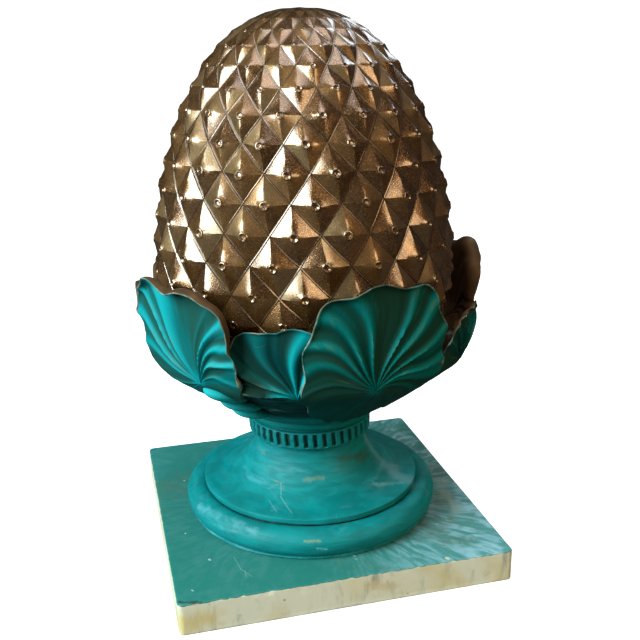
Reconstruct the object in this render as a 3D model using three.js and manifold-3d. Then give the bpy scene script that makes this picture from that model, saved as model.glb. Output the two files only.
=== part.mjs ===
// Pinecone finial: a square plinth, a turned foot, a cup of leaves and a cone of diamond scales.
// Millimetres, +Z up, with the origin at the centre of the plinth's underside.
import * as THREE from 'three';
import { mergeGeometries, mergeVertices } from 'three/addons/utils/BufferGeometryUtils.js';
import Module from 'manifold-3d';

const wasm = await Module();
wasm.setup();

// Clearance between two pieces that seat on each other
const SEAT_GAP = 0.3;

// Plinth
const PLINTH_SIDE = 230;
const PLINTH_THICKNESS = 22.9;
const PLINTH_CORNER_RADIUS = 4;
const PLINTH_EDGE_BEVEL = 0.9;

// Foot, from the ring on the plinth to the top of the fluted collar
const RING_RADIUS = 83.5;
const RING_HALF_WIDTH = 10.2;
const RING_HEIGHT = 19.6;
const RING_ARC = [-80, 115];
const DISC_SETBACK = 3.2;
const DISC_THICKNESS = 4.8;
const GROOVE_DEPTH = 3.5;
const GROOVE_HEIGHT = 1.5;
const BELL_HEIGHT = 34;
const NECK_RADIUS = 40;
const COLLAR_RADIUS = 45.2;
const COLLAR_HEIGHT = 13.6;
const COLLAR_LIP = 1.6;
const FLUTE_PITCH = 6.76;
const FLUTE_WIDTH = 2.4;
const FLUTE_DEPTH = 1.8;
const FLUTE_MARGIN = 2.5;

// Cone
const CONE_HEIGHT = 251.5;
const CONE_RADIUS = 106;
const CONE_SEAT_RADIUS = 69;
const CONE_WIDEST_SHARE = 0.3333;
const CONE_SHOULDER_POWER = 1.8;
const CONE_BLUNT_POWER = 0.439;
const CONE_OFFSET = -1.5;
const SCALES_PER_RING = 20;
const SCALE_PITCH = 19;
const SCALE_SHRINK_SHARE = 0.5;
const SCALE_HEIGHT = 5.6;
const SCALE_TWIST_DEGREES = 7.5;
const STUD_RADIUS = 2.6;
const STUDDED_RADIUS = 50;
const TIP_CAP_HEIGHT = 1.2;

// Leaf cup
const CUP_STEM_HEIGHT = 3.6;
const CUP_BEAD_HEIGHT = 4;
const CUP_BEAD_WIDTH = 6;
const CUP_BEAD_UNDERCUT = 3.6;
const CUP_FLOOR_THICKNESS = 30.7;
const CUP_HEIGHT = 124;
const CONE_CLEARANCE = 11.6;
const GUTTER_WIDTH = 3;
const BOWL_RIM_HEIGHT = 24;
const BOWL_WALL = 4;
const BELLY_SHARES = [0.2, 0.5];
const LEAF_THICKNESS = 3.4;
const LEAF_PLEAT_DEPTH = 3;
const LEAF_SCALLOP_SHARE = 0.03;
const LEAF_ROLL_RADIUS = 4.6;
const LEAF_ROLL_POWER = 1.6;
const INNER_LEAF_SETBACK = 5.5;
const BOWL_SETBACK = 7.6;
const LEAF_ROOT_DEPTH = 9;
const LEAF_ROOT_FADE = 18;
const LOBE_SLOPE = -0.3;

// Mesh fineness
const TURN_SIDES = 40;
const OUTER_LEAF_PLEATS = 12;
const INNER_LEAF_PLEATS = 9;
const OUTER_LEAF_RINGS = [0.4, 0.78, 0.9, 1];
const INNER_LEAF_RINGS = [0.5, 0.88, 1];
const LOBE_SIDES = 10;
const LOBE_RINGS = 6;

// Sizes that fit one piece to another
const DISC_RADIUS = RING_RADIUS - DISC_SETBACK;
const CUP_STEM_RADIUS = COLLAR_RADIUS - COLLAR_LIP;
const CUP_RADIUS = CONE_RADIUS + CONE_CLEARANCE + LEAF_THICKNESS;

// Heights where the pieces meet
const FOOT_BASE = PLINTH_THICKNESS + SEAT_GAP;
const DISC_BASE = FOOT_BASE + RING_HEIGHT;
const DISC_TOP = DISC_BASE + DISC_THICKNESS;
const COLLAR_BASE = DISC_TOP + BELL_HEIGHT;
const COLLAR_TOP = COLLAR_BASE + COLLAR_HEIGHT;
const CUP_BASE = COLLAR_TOP + SEAT_GAP;
const CUP_FLOOR = CUP_BASE + CUP_FLOOR_THICKNESS;
const CONE_BASE = CUP_FLOOR + SEAT_GAP;
const CONE_TOP = CONE_BASE + CONE_HEIGHT;

// The cone's first scale and the leaves are placed from this direction, in degrees
const FRONT_DEGREES = -103.6;

// The curve that the outside of the leaves follows, from the stem to the free tips, as shares of
// the cup's radius and height
const CUP_WALL = [
  [0.37, 0], [0.43, 0.05], [0.515, 0.1], [0.6, 0.165], [0.73, 0.26], [0.857, 0.36],
  [0.935, 0.43], [0.965, 0.51], [0.985, 0.63], [0.995, 0.8], [1, 1], [1.005, 1.2],
];

// Each leaf in turn: whether it lies in the outer row, its azimuth from the front, the height of its
// vein root as a share of the cup's height, and how far the blade reaches from there, which is up,
// right, down and left, as shares of the cup's height and radius. Square is how square its outline
// is, from 2 for an oval. Roll is how far its lip rolls over, in degrees.
const LEAVES = [
  { outer: true, azimuth: -36, root: 0.47, reach: [0.55, 0.24, 0.12, 0.58], square: 4, roll: 130 },
  { outer: true, azimuth: 21, root: 0.46, reach: [0.56, 0.46, 0.35, 0.4], square: 2.5, roll: 70 },
  { outer: true, azimuth: 105, root: 0.47, reach: [0.53, 0.36, 0.31, 0.24], square: 2.5, roll: 130 },
  { outer: true, azimuth: 172, root: 0.46, reach: [0.51, 0.41, 0.32, 0.43], square: 2.5, roll: 90 },
  { outer: true, azimuth: -122, root: 0.46, reach: [0.42, 0.28, 0.32, 0.4], square: 2.5, roll: 110 },
  { outer: false, azimuth: -4, root: 0.41, reach: [0.39, 0.2, 0.25, 0.42], square: 3.2, roll: 40 },
  { outer: true, azimuth: 63, root: 0.45, reach: [0.3, 0.38, 0.36, 0.24], square: 2.5, roll: 60 },
  { outer: false, azimuth: 137, root: 0.47, reach: [0.31, 0.25, 0.27, 0.26], square: 2.5, roll: 50 },
  { outer: false, azimuth: -155, root: 0.47, reach: [0.33, 0.25, 0.27, 0.25], square: 2.5, roll: 60 },
  { outer: false, azimuth: -82, root: 0.46, reach: [0.4, 0.17, 0.29, 0.3], square: 2.5, roll: 110 },
];

// The smooth lobes on the bowl's belly, from the top down: azimuth from the front, height of the
// middle as a share of the cup's height, then half width, half height and how far it stands out
const LOBES = [
  { azimuth: -32, height: 0.4, halfWidth: 12, halfHeight: 8, bulge: 11 },
  { azimuth: -31, height: 0.3, halfWidth: 11, halfHeight: 5.5, bulge: 10 },
  { azimuth: -33, height: 0.21, halfWidth: 11, halfHeight: 6, bulge: 10 },
];

const radians = THREE.MathUtils.degToRad;

// Joins the vertices that share a place, so that a solid is one closed skin
function closedSkin(geometry) {
  const skin = geometry.index ? geometry.clone() : mergeVertices(geometry);
  skin.deleteAttribute('normal');
  skin.deleteAttribute('uv');
  return mergeVertices(skin, 1e-4);
}

function toSolid(geometry) {
  const skin = closedSkin(geometry);
  return new wasm.Manifold(new wasm.Mesh({
    numProp: 3,
    vertProperties: new Float32Array(skin.attributes.position.array),
    triVerts: new Uint32Array(skin.index.array),
  }));
}

function toGeometry(solid) {
  const mesh = solid.getMesh();
  const geometry = new THREE.BufferGeometry();
  geometry.setAttribute('position', new THREE.BufferAttribute(new Float32Array(mesh.vertProperties), 3));
  geometry.setIndex(new THREE.BufferAttribute(new Uint32Array(mesh.triVerts), 1));
  geometry.computeVertexNormals();
  return geometry;
}

// A geometry from corner points and triangles
function faceted(points, triangles) {
  const geometry = new THREE.BufferGeometry();
  geometry.setAttribute('position', new THREE.Float32BufferAttribute(points.flatMap((p) => p.toArray()), 3));
  geometry.setIndex(triangles.flat());
  geometry.computeVertexNormals();
  return geometry;
}

// Turns a profile of (radius, height) points, listed from the bottom up, about the Z axis
function turned(profile, sides = TURN_SIDES) {
  const geometry = new THREE.LatheGeometry(profile, sides);
  geometry.rotateX(Math.PI / 2);
  return geometry;
}

// Points of an arc from one angle to another, in degrees, with its own half width and half height
function arcPoints(centre, halfWidth, halfHeight, from, to, steps) {
  const points = [];
  for (let i = 0; i <= steps; i += 1) {
    const angle = radians(THREE.MathUtils.lerp(from, to, i / steps));
    points.push(new THREE.Vector2(
      centre.x + halfWidth * Math.cos(angle),
      centre.y + halfHeight * Math.sin(angle),
    ));
  }
  return points;
}

function plinthGeometry() {
  const half = PLINTH_SIDE / 2 - PLINTH_EDGE_BEVEL;
  const radius = PLINTH_CORNER_RADIUS - PLINTH_EDGE_BEVEL;
  const outline = new THREE.Shape();
  outline.moveTo(-half + radius, -half);
  outline.lineTo(half - radius, -half);
  outline.absarc(half - radius, -half + radius, radius, -Math.PI / 2, 0);
  outline.lineTo(half, half - radius);
  outline.absarc(half - radius, half - radius, radius, 0, Math.PI / 2);
  outline.lineTo(-half + radius, half);
  outline.absarc(-half + radius, half - radius, radius, Math.PI / 2, Math.PI);
  outline.lineTo(-half, -half + radius);
  outline.absarc(-half + radius, -half + radius, radius, Math.PI, 1.5 * Math.PI);
  const geometry = new THREE.ExtrudeGeometry(outline, {
    depth: PLINTH_THICKNESS - 2 * PLINTH_EDGE_BEVEL,
    bevelThickness: PLINTH_EDGE_BEVEL,
    bevelSize: PLINTH_EDGE_BEVEL,
    bevelSegments: 1,
    curveSegments: 3,
  });
  geometry.translate(0, 0, PLINTH_EDGE_BEVEL);
  return geometry;
}

function footProfile() {
  const ringCentre = new THREE.Vector2(RING_RADIUS, FOOT_BASE + RING_HEIGHT / 2);
  const ring = arcPoints(ringCentre, RING_HALF_WIDTH, RING_HEIGHT / 2, ...RING_ARC, 7);
  ring[0].y = FOOT_BASE;
  const bellCentre = new THREE.Vector2(DISC_RADIUS, COLLAR_BASE);
  const bell = arcPoints(bellCentre, DISC_RADIUS - NECK_RADIUS, BELL_HEIGHT, -90, -180, 6);
  return [
    new THREE.Vector2(0, FOOT_BASE),
    ...ring,
    new THREE.Vector2(DISC_RADIUS - GROOVE_DEPTH, DISC_BASE - GROOVE_HEIGHT),
    new THREE.Vector2(DISC_RADIUS, DISC_BASE),
    ...bell,
    new THREE.Vector2(COLLAR_RADIUS - COLLAR_LIP, COLLAR_BASE),
    new THREE.Vector2(COLLAR_RADIUS, COLLAR_BASE + COLLAR_LIP),
    new THREE.Vector2(COLLAR_RADIUS, COLLAR_TOP - COLLAR_LIP),
    new THREE.Vector2(COLLAR_RADIUS - COLLAR_LIP, COLLAR_TOP),
    new THREE.Vector2(0, COLLAR_TOP),
  ];
}

// The foot's turned body less a ring of upright flutes cut into the collar
function footGeometry() {
  const fluteCount = Math.round((2 * Math.PI * COLLAR_RADIUS) / FLUTE_PITCH);
  const body = toSolid(turned(footProfile(), fluteCount));
  const flutes = [];
  for (let i = 0; i < fluteCount; i += 1) {
    const flute = new THREE.BoxGeometry(2 * FLUTE_DEPTH, FLUTE_WIDTH, COLLAR_HEIGHT - 2 * FLUTE_MARGIN);
    flute.translate(COLLAR_RADIUS, 0, COLLAR_BASE + COLLAR_HEIGHT / 2);
    flute.rotateZ((2 * Math.PI * (i + 0.5)) / fluteCount);
    flutes.push(closedSkin(flute));
  }
  return toGeometry(body.subtract(toSolid(mergeGeometries(flutes))));
}

const cupWallPoints = new THREE.SplineCurve(
  CUP_WALL.map(([across, up]) => new THREE.Vector2(across * CUP_RADIUS, up * CUP_HEIGHT)),
).getPoints(200);

// Radius of the curve that the leaves follow at a height above the cup's base
function cupWallRadius(height) {
  const above = cupWallPoints.findIndex((point) => point.y >= height);
  if (above < 1) {
    return above === 0 ? cupWallPoints[0].x : cupWallPoints.at(-1).x;
  }
  const low = cupWallPoints[above - 1];
  const high = cupWallPoints[above];
  return THREE.MathUtils.lerp(low.x, high.x, (height - low.y) / (high.y - low.y));
}

// How far a leaf's blade reaches from its vein root at a bearing, 0 up and positive to the right
function leafReach(leaf, pleats, bearing) {
  const [up, right, down, left] = leaf.reach;
  const side = CUP_RADIUS * (Math.sin(bearing) > 0 ? right : left);
  const end = CUP_HEIGHT * (Math.cos(bearing) > 0 ? up : down);
  const across = Math.abs(Math.sin(bearing) / side) ** leaf.square;
  const along = Math.abs(Math.cos(bearing) / end) ** leaf.square;
  const scallop = 1 + LEAF_SCALLOP_SHARE * Math.cos(pleats * bearing);
  return (across + along) ** (-1 / leaf.square) * scallop;
}

// A point on a leaf's outside, at a bearing and a share of the reach: the blade lies on the cup's
// wall, is pleated along its veins, and its upper lip rolls outwards. An inner leaf lies behind the
// outer ones. The inside has no pleats.
function leafPoint(leaf, pleats, bearing, share, pleated = true) {
  const reach = leafReach(leaf, pleats, bearing);
  const upness = Math.max(0, Math.cos(bearing)) ** LEAF_ROLL_POWER;
  const distance = share * reach;
  const flat = Math.min(distance, reach - LEAF_ROLL_RADIUS * radians(leaf.roll) * upness);
  const turn = (distance - flat) / LEAF_ROLL_RADIUS;
  const length = flat + LEAF_ROLL_RADIUS * Math.sin(turn);
  const height = leaf.root * CUP_HEIGHT + length * Math.cos(bearing);
  const setback = leaf.outer ? 0 : INNER_LEAF_SETBACK;
  const ridge = Math.abs(Math.cos((pleats * bearing) / 2)) - 2 / Math.PI;
  const pleat = pleated ? LEAF_PLEAT_DEPTH * share * ridge : 0;
  const outward = LEAF_ROLL_RADIUS * (1 - Math.cos(turn));
  const radius = cupWallRadius(height) - setback + pleat + outward;
  const angle = radians(FRONT_DEGREES + leaf.azimuth) + (length * Math.sin(bearing)) / CUP_RADIUS;
  return new THREE.Vector3(radius * Math.cos(angle), radius * Math.sin(angle), CUP_BASE + height);
}

// The point on a leaf's inside behind its outside: one thickness behind the unpleated blade, and
// deeper below the bowl's rim, where the blade is one with the bowl
function leafInsidePoint(leaf, pleats, bearing, share) {
  const step = 1e-3;
  const point = leafPoint(leaf, pleats, bearing, share, false);
  const across = leafPoint(leaf, pleats, bearing + step, share, false)
    .sub(leafPoint(leaf, pleats, bearing - step, share, false));
  const along = point.clone().sub(leafPoint(leaf, pleats, bearing, share - step, false));
  const normal = across.cross(along).normalize();
  const setback = leaf.outer ? 0 : INNER_LEAF_SETBACK;
  const aboveRim = point.z - CUP_FLOOR - BOWL_RIM_HEIGHT;
  const free = THREE.MathUtils.clamp(aboveRim / LEAF_ROOT_FADE, 0, 1);
  const depth = Math.max(LEAF_THICKNESS, LEAF_ROOT_DEPTH - setback);
  point.addScaledVector(normal, -THREE.MathUtils.lerp(depth, LEAF_THICKNESS, free));
  return point;
}

// A closed sheet: the outside, the inside behind it, and the edge between them
function leafGeometry(leaf) {
  const pleats = leaf.outer ? OUTER_LEAF_PLEATS : INNER_LEAF_PLEATS;
  const around = 2 * pleats;
  const shares = leaf.outer ? OUTER_LEAF_RINGS : INNER_LEAF_RINGS;
  const root = leafPoint(leaf, pleats, 0, 0);
  const inward = new THREE.Vector3(-root.x, -root.y, 0).normalize();
  const rootDepth = LEAF_ROOT_DEPTH - (leaf.outer ? 0 : INNER_LEAF_SETBACK);
  const points = [root, root.clone().addScaledVector(inward, rootDepth)];
  for (const share of shares) {
    for (let i = 0; i < around; i += 1) {
      const bearing = (2 * Math.PI * i) / around;
      points.push(leafPoint(leaf, pleats, bearing, share), leafInsidePoint(leaf, pleats, bearing, share));
    }
  }
  const at = (ring, i, inside) => 2 + 2 * (ring * around + (i % around)) + (inside ? 1 : 0);
  const triangles = [];
  for (let i = 0; i < around; i += 1) {
    triangles.push([0, at(0, i + 1, false), at(0, i, false)]);
    triangles.push([1, at(0, i, true), at(0, i + 1, true)]);
    for (let ring = 1; ring < shares.length; ring += 1) {
      for (const inside of [false, true]) {
        const corners = [at(ring - 1, i, inside), at(ring - 1, i + 1, inside),
          at(ring, i + 1, inside), at(ring, i, inside)];
        if (inside) {
          corners.reverse();
        }
        triangles.push([corners[0], corners[1], corners[2]], [corners[0], corners[2], corners[3]]);
      }
    }
    const last = shares.length - 1;
    triangles.push([at(last, i, false), at(last, i + 1, false), at(last, i + 1, true)]);
    triangles.push([at(last, i, false), at(last, i + 1, true), at(last, i, true)]);
  }
  return faceted(points, triangles);
}

// Radius of the cup's hollow at a height above its floor: it follows the cone's side, past a gutter
// that widens up to the bowl's rim
function hollowRadius(height) {
  return coneRadius(height) + THREE.MathUtils.lerp(GUTTER_WIDTH, CONE_CLEARANCE, height / BOWL_RIM_HEIGHT);
}

// The hollow that the cone stands in, with a flat floor, and open above the bowl's rim
function hollowGeometry(heights) {
  const side = heights.map((height) => new THREE.Vector2(hollowRadius(height), CUP_FLOOR + height));
  return turned([
    new THREE.Vector2(0, CUP_FLOOR),
    ...side,
    new THREE.Vector2(side.at(-1).x, CONE_TOP),
    new THREE.Vector2(0, CONE_TOP),
  ]);
}

// The bowl that carries the leaves, before it is hollowed. Its outside lies behind the leaves.
function bowlGeometry(heights) {
  const bead = CUP_STEM_HEIGHT + CUP_BEAD_HEIGHT;
  const belly = BELLY_SHARES.map((share) => {
    const height = THREE.MathUtils.lerp(bead, CUP_FLOOR_THICKNESS, share);
    return new THREE.Vector2(cupWallRadius(height) - INNER_LEAF_SETBACK, CUP_BASE + height);
  });
  const wall = heights.map((height) => {
    const leavesBack = cupWallRadius(CUP_FLOOR_THICKNESS + height) - BOWL_SETBACK;
    return new THREE.Vector2(Math.max(leavesBack, hollowRadius(height) + BOWL_WALL), CUP_FLOOR + height);
  });
  return turned([
    new THREE.Vector2(0, CUP_BASE),
    new THREE.Vector2(CUP_STEM_RADIUS, CUP_BASE),
    new THREE.Vector2(CUP_STEM_RADIUS, CUP_BASE + CUP_STEM_HEIGHT),
    new THREE.Vector2(CUP_STEM_RADIUS + CUP_BEAD_UNDERCUT, CUP_BASE + CUP_STEM_HEIGHT),
    new THREE.Vector2(CUP_STEM_RADIUS + CUP_BEAD_WIDTH, CUP_BASE + bead),
    ...belly,
    ...wall,
    new THREE.Vector2(0, CUP_FLOOR + BOWL_RIM_HEIGHT),
  ]);
}

// A flat dome whose middle lies on the belly and whose back lies in the bowl
function lobeGeometry(lobe) {
  const geometry = new THREE.SphereGeometry(1, LOBE_SIDES, LOBE_RINGS);
  geometry.rotateX(Math.PI / 2);
  const position = geometry.attributes.position;
  for (let i = 0; i < position.count; i += 1) {
    const across = lobe.halfWidth * position.getX(i);
    const up = lobe.halfHeight * position.getY(i) + LOBE_SLOPE * across;
    const height = lobe.height * CUP_HEIGHT + up;
    const radius = cupWallRadius(height) - BOWL_SETBACK + lobe.bulge * position.getZ(i);
    const angle = radians(FRONT_DEGREES + lobe.azimuth) + across / radius;
    position.setXYZ(i, radius * Math.cos(angle), radius * Math.sin(angle), CUP_BASE + height);
  }
  return geometry;
}

function leafCupGeometry() {
  const heights = [0, 0.25, 0.5, 0.75, 1].map((share) => share * BOWL_RIM_HEIGHT);
  let cup = toSolid(bowlGeometry(heights));
  for (const leaf of LEAVES) {
    cup = cup.add(toSolid(leafGeometry(leaf)));
  }
  for (const lobe of LOBES) {
    cup = cup.add(toSolid(lobeGeometry(lobe)));
  }
  return toGeometry(cup.subtract(toSolid(hollowGeometry(heights))));
}

// Radius of the cone's scale tips at a height above its seat: an ellipse below the widest place,
// and a blunt egg curve above it
function coneRadius(height) {
  const widest = CONE_WIDEST_SHARE * CONE_HEIGHT;
  if (height < widest) {
    const seatShare = CONE_SEAT_RADIUS / CONE_RADIUS;
    const depth = widest / Math.sqrt(1 - seatShare ** 2);
    return CONE_RADIUS * Math.sqrt(1 - ((widest - height) / depth) ** 2);
  }
  const up = Math.min(1, (height - widest) / (CONE_HEIGHT - widest));
  return CONE_RADIUS * (1 - up ** CONE_SHOULDER_POWER) ** CONE_BLUNT_POWER;
}

// Heights of the rings of scales, stepped along the curve so that the scales shrink towards the
// top, with one ring at the widest place
function ringHeights() {
  const widest = CONE_WIDEST_SHARE * CONE_HEIGHT;
  const step = 0.25;
  const heights = [widest];
  for (const direction of [-1, 1]) {
    let travelled = 0;
    for (let height = widest; height > step && height < CONE_HEIGHT - step; height += direction * step) {
      const radius = coneRadius(height);
      travelled += Math.hypot(step, coneRadius(height + direction * step) - radius);
      const pitch = SCALE_PITCH * (1 - SCALE_SHRINK_SHARE * (1 - radius / CONE_RADIUS));
      if (travelled >= pitch) {
        heights.push(height + direction * step);
        travelled = 0;
      }
    }
  }
  return heights.sort((a, b) => a - b);
}

// The cone: each scale is a low four-sided pyramid with a small flat stud on its tip. Its corners
// are valleys that it shares with the scales around it.
function pineconeGeometry() {
  const rings = ringHeights();
  const count = SCALES_PER_RING;
  const pitch = 360 / count;
  const widestRing = rings.indexOf(CONE_WIDEST_SHARE * CONE_HEIGHT);
  const place = (height, degrees, inset) => {
    const radius = coneRadius(height) - inset;
    const angle = radians(FRONT_DEGREES + degrees);
    return new THREE.Vector3(radius * Math.cos(angle), radius * Math.sin(angle), CONE_BASE + height);
  };
  const levels = [0, ...rings, CONE_HEIGHT - TIP_CAP_HEIGHT];
  const points = [];
  const valleys = levels.map((height, level) => {
    const inset = level === 0 ? 0 : SCALE_HEIGHT * Math.min(1, coneRadius(height) / STUDDED_RADIUS);
    return Array.from({ length: count }, (_, i) => {
      const degrees = (level - 1 - widestRing) * SCALE_TWIST_DEGREES + (i + 0.5) * pitch;
      return points.push(place(height, degrees, inset)) - 1;
    });
  });
  const triangles = [];
  const corner = (level, i) => valleys[level][((i % count) + count) % count];
  for (let ring = 0; ring < rings.length; ring += 1) {
    const level = ring + 1;
    for (let i = 0; i < count; i += 1) {
      const around = [corner(level, i - 1), corner(level - 1, i), corner(level, i), corner(level + 1, i - 1)];
      const degrees = (ring - widestRing) * SCALE_TWIST_DEGREES + i * pitch;
      const tip = place(rings[ring], degrees, 0);
      if (coneRadius(rings[ring]) < STUDDED_RADIUS) {
        const point = points.push(tip) - 1;
        around.forEach((index, side) => triangles.push([index, around[(side + 1) % 4], point]));
      } else {
        const table = around.map((index) => {
          const ridge = points[index].clone().sub(tip);
          return points.push(tip.clone().addScaledVector(ridge, STUD_RADIUS / ridge.length())) - 1;
        });
        around.forEach((index, side) => {
          const next = (side + 1) % 4;
          triangles.push([index, around[next], table[next]], [index, table[next], table[side]]);
        });
        triangles.push([table[0], table[1], table[2]], [table[0], table[2], table[3]]);
      }
    }
  }
  const apex = points.push(new THREE.Vector3(0, 0, CONE_TOP)) - 1;
  const seat = points.push(new THREE.Vector3(0, 0, CONE_BASE)) - 1;
  const top = levels.length - 1;
  for (let i = 0; i < count; i += 1) {
    triangles.push([corner(0, i), corner(0, i + 1), corner(1, i)]);
    triangles.push([seat, corner(0, i + 1), corner(0, i)]);
    triangles.push([corner(top - 1, i), corner(top, i), corner(top, i - 1)]);
    triangles.push([apex, corner(top, i), corner(top, i + 1)]);
  }
  const geometry = faceted(points, triangles);
  geometry.translate(CONE_OFFSET, 0, 0);
  return geometry;
}

function piece(name, geometry, colour, roughness, metalness) {
  const material = new THREE.MeshStandardMaterial({ color: colour, roughness, metalness });
  const mesh = new THREE.Mesh(geometry, material);
  mesh.name = name;
  return mesh;
}

const finial = new THREE.Group();
finial.add(
  piece('plinth', plinthGeometry(), 0xd8d2b4, 0.6, 0),
  piece('foot', footGeometry(), 0x117a6c, 0.5, 0),
  piece('leaf_cup', leafCupGeometry(), 0x0f8a7c, 0.45, 0),
  piece('pinecone', pineconeGeometry(), 0x8a6433, 0.4, 0.7),
);

export default finial;
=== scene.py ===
"""Dressed model of a pinecone finial: a resin plinth, a turned foot, a cup of leaves and a cone of
diamond scales.

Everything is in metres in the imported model's frame, +Z up, with the origin at the centre of the
plinth's underside. Each sub-assembly is a class whose fields are its sizes, and each finish is a
class whose fields are its colours.
"""
import sys

import logging
import math
from dataclasses import dataclass, field, replace
from enum import Enum

import bpy
import numpy as np
from bpy.types import Material, Node, NodeSocket, NodeTree, Object
from mathutils import Matrix, Vector


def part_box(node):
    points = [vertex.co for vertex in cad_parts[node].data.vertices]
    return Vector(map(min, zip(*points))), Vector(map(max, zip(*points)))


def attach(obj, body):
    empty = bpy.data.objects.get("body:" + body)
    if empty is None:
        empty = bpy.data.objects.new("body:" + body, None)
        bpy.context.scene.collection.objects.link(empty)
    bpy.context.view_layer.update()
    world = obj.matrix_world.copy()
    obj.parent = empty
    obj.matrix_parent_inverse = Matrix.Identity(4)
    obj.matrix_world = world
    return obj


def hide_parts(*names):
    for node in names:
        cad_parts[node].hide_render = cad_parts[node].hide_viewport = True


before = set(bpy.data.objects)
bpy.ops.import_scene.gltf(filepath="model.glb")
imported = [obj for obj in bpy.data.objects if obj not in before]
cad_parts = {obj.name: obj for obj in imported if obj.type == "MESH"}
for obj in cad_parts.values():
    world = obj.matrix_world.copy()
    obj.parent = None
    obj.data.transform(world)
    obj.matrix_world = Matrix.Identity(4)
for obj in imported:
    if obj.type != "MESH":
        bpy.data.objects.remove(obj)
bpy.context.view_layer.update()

log = logging.getLogger("finial")

MM = 0.001
BODY = "root"
WELD = 1e-6
TINY = 1e-12
FULL_TURN = 2 * math.pi
FRONT = math.radians(-103.6)
NOISE_LAYERS = 3
Array = np.ndarray
Pair = tuple[float, float]
Place = tuple[float, float, float]
Colour = tuple[float, float, float]


class Slot(Enum):
    """The record's material slots."""

    RESIN = "plinth_resin"
    TEAL = "teal_paint"
    BRONZE = "bronze_paint"


class LeafLighting(Enum):
    """Lit and shaded copies of the leaves' teal paint: painted light and painted shade, by how each leaf
    faces the lamps.
    """

    BRIGHT = "facing_light"
    FOLDED = "folded"
    IN_SHADE = "deep"
    DARK = "dark"


class Row(Enum):
    """Which row of the cup a leaf grows in, by its place in pairs of values."""

    OUTER = 0
    INNER = 1


def lattice_values(cells: Array, seed: int) -> Array:
    """Repeatable values between -1 and 1 for whole-numbered cells, from a mixed integer hash.

    Args:
        cells: Whole numbers, one row of three for each place.
        seed: Picks another set of values.

    Returns:
        One value for each row.
    """
    factors = np.array([73856093, 19349663, 83492791], dtype=np.uint64)
    mixer, shift, word = np.uint64(1274126177), np.uint64(15), np.uint64(0xFFFFFFFF)
    seed_step, seed_start = 7919, 17
    code = (cells.astype(np.int64).astype(np.uint64) * factors) & word
    code = code[:, 0] ^ code[:, 1] ^ code[:, 2] ^ np.uint64(seed * seed_step + seed_start)
    for _ in range(2):
        code = ((code ^ (code >> shift)) * mixer) & word
    return (code ^ (code >> shift)).astype(float) / float(word) * 2 - 1


def smooth_noise(places: Array, size: float, seed: int) -> Array:
    """Value noise: the lattice's values, blended in each cell with the smoothstep curve.

    Args:
        places: Points, in an array whose last axis is x, y, z.
        size: Width of one cell.
        seed: Picks another pattern.

    Returns:
        Values between -1 and 1, in the places' own shape without the last axis.
    """
    scaled = places.reshape(-1, 3) / size
    base = np.floor(scaled)
    part = scaled - base
    part = part * part * (3 - 2 * part)
    total = np.zeros(len(scaled))
    for corner in np.ndindex(2, 2, 2):
        step = np.array(corner)
        weight = np.prod(np.where(step == 1, part, 1 - part), axis=1)
        total += weight * lattice_values(base + step, seed)
    return total.reshape(places.shape[:-1])


def layered_noise(places: Array, size: float, seed: int) -> Array:
    """Layers of smooth noise, each half the size and half the strength of the one before.

    Args:
        places: Points, in an array whose last axis is x, y, z.
        size: Cell width of the first layer.
        seed: Picks another pattern.

    Returns:
        Values between about -1 and 1.
    """
    total = sum(smooth_noise(places, size / 2**k, seed + k) / 2**k for k in range(NOISE_LAYERS))
    return total / (2 - 2.0 ** (1 - NOISE_LAYERS))


def ease(value: Array, low: float, high: float) -> Array:
    """Smoothstep: 0 below low, 1 above high, and an S curve between them."""
    share = np.clip((value - low) / (high - low), 0, 1)
    return share * share * (3 - 2 * share)


def blend(start: Array, end: Array, share: Array) -> Array:
    """Straight blend from start to end."""
    return start + (end - start) * share


def around_axis(radius: Array, angle: Array, height: Array) -> Array:
    """Points at a radius, an angle about +Z and a height."""
    parts = np.broadcast_arrays(radius * np.cos(angle), radius * np.sin(angle), height)
    return np.stack(parts, axis=-1)


def bearing_places(bearing: Array, radius: float, level: float) -> Array:
    """Places on a circle, for noise that joins up after a full turn."""
    return around_axis(np.full_like(bearing, radius), bearing, np.full_like(bearing, level))


def wrapped_faces(rows: int, columns: int) -> Array:
    """Quads between the rows of a grid whose last column meets its first.

    Args:
        rows: Number of rows of points.
        columns: Number of points in a row.

    Returns:
        Four point indices a face.
    """
    row = np.arange(rows - 1)[:, None] * columns
    here = np.arange(columns)[None, :]
    there = (here + 1) % columns
    quads = np.stack([row + here, row + there, row + columns + there, row + columns + here], axis=-1)
    return quads.reshape(-1, 4)


def wrapped_normals(grid: Array) -> Array:
    """Unit normals of a grid whose columns wrap, from the cross product of its two slopes.

    Args:
        grid: Points, rows by columns by three.

    Returns:
        Normals of the same shape, and zeros where the grid closes to a point.
    """
    across = np.roll(grid, -1, axis=1) - np.roll(grid, 1, axis=1)
    along = np.gradient(grid, axis=0)
    normal = np.cross(across, along)
    length = np.linalg.norm(normal, axis=-1, keepdims=True)
    return np.where(length > TINY, normal / np.maximum(length, TINY), 0)


def arc(centre: Pair, half: Pair, start: float, stop: float, steps: int) -> Array:
    """Points of a squashed arc in a turned profile.

    Args:
        centre: Radius and height of the arc's centre.
        half: Half width and half height of the full curve.
        start: First angle, in degrees.
        stop: Last angle, in degrees.
        steps: Number of steps between them.

    Returns:
        Rows of radius and height.
    """
    angle = np.radians(np.linspace(start, stop, steps + 1))
    turn = np.stack([np.cos(angle), np.sin(angle)], axis=1)
    return np.array(centre) + np.array(half) * turn


def straight(start: Pair, stop: Pair, steps: int) -> Array:
    """Points of a straight stretch in a turned profile, the last one left out."""
    share = np.arange(steps)[:, None] / steps
    return blend(np.array(start), np.array(stop), share)


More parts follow.
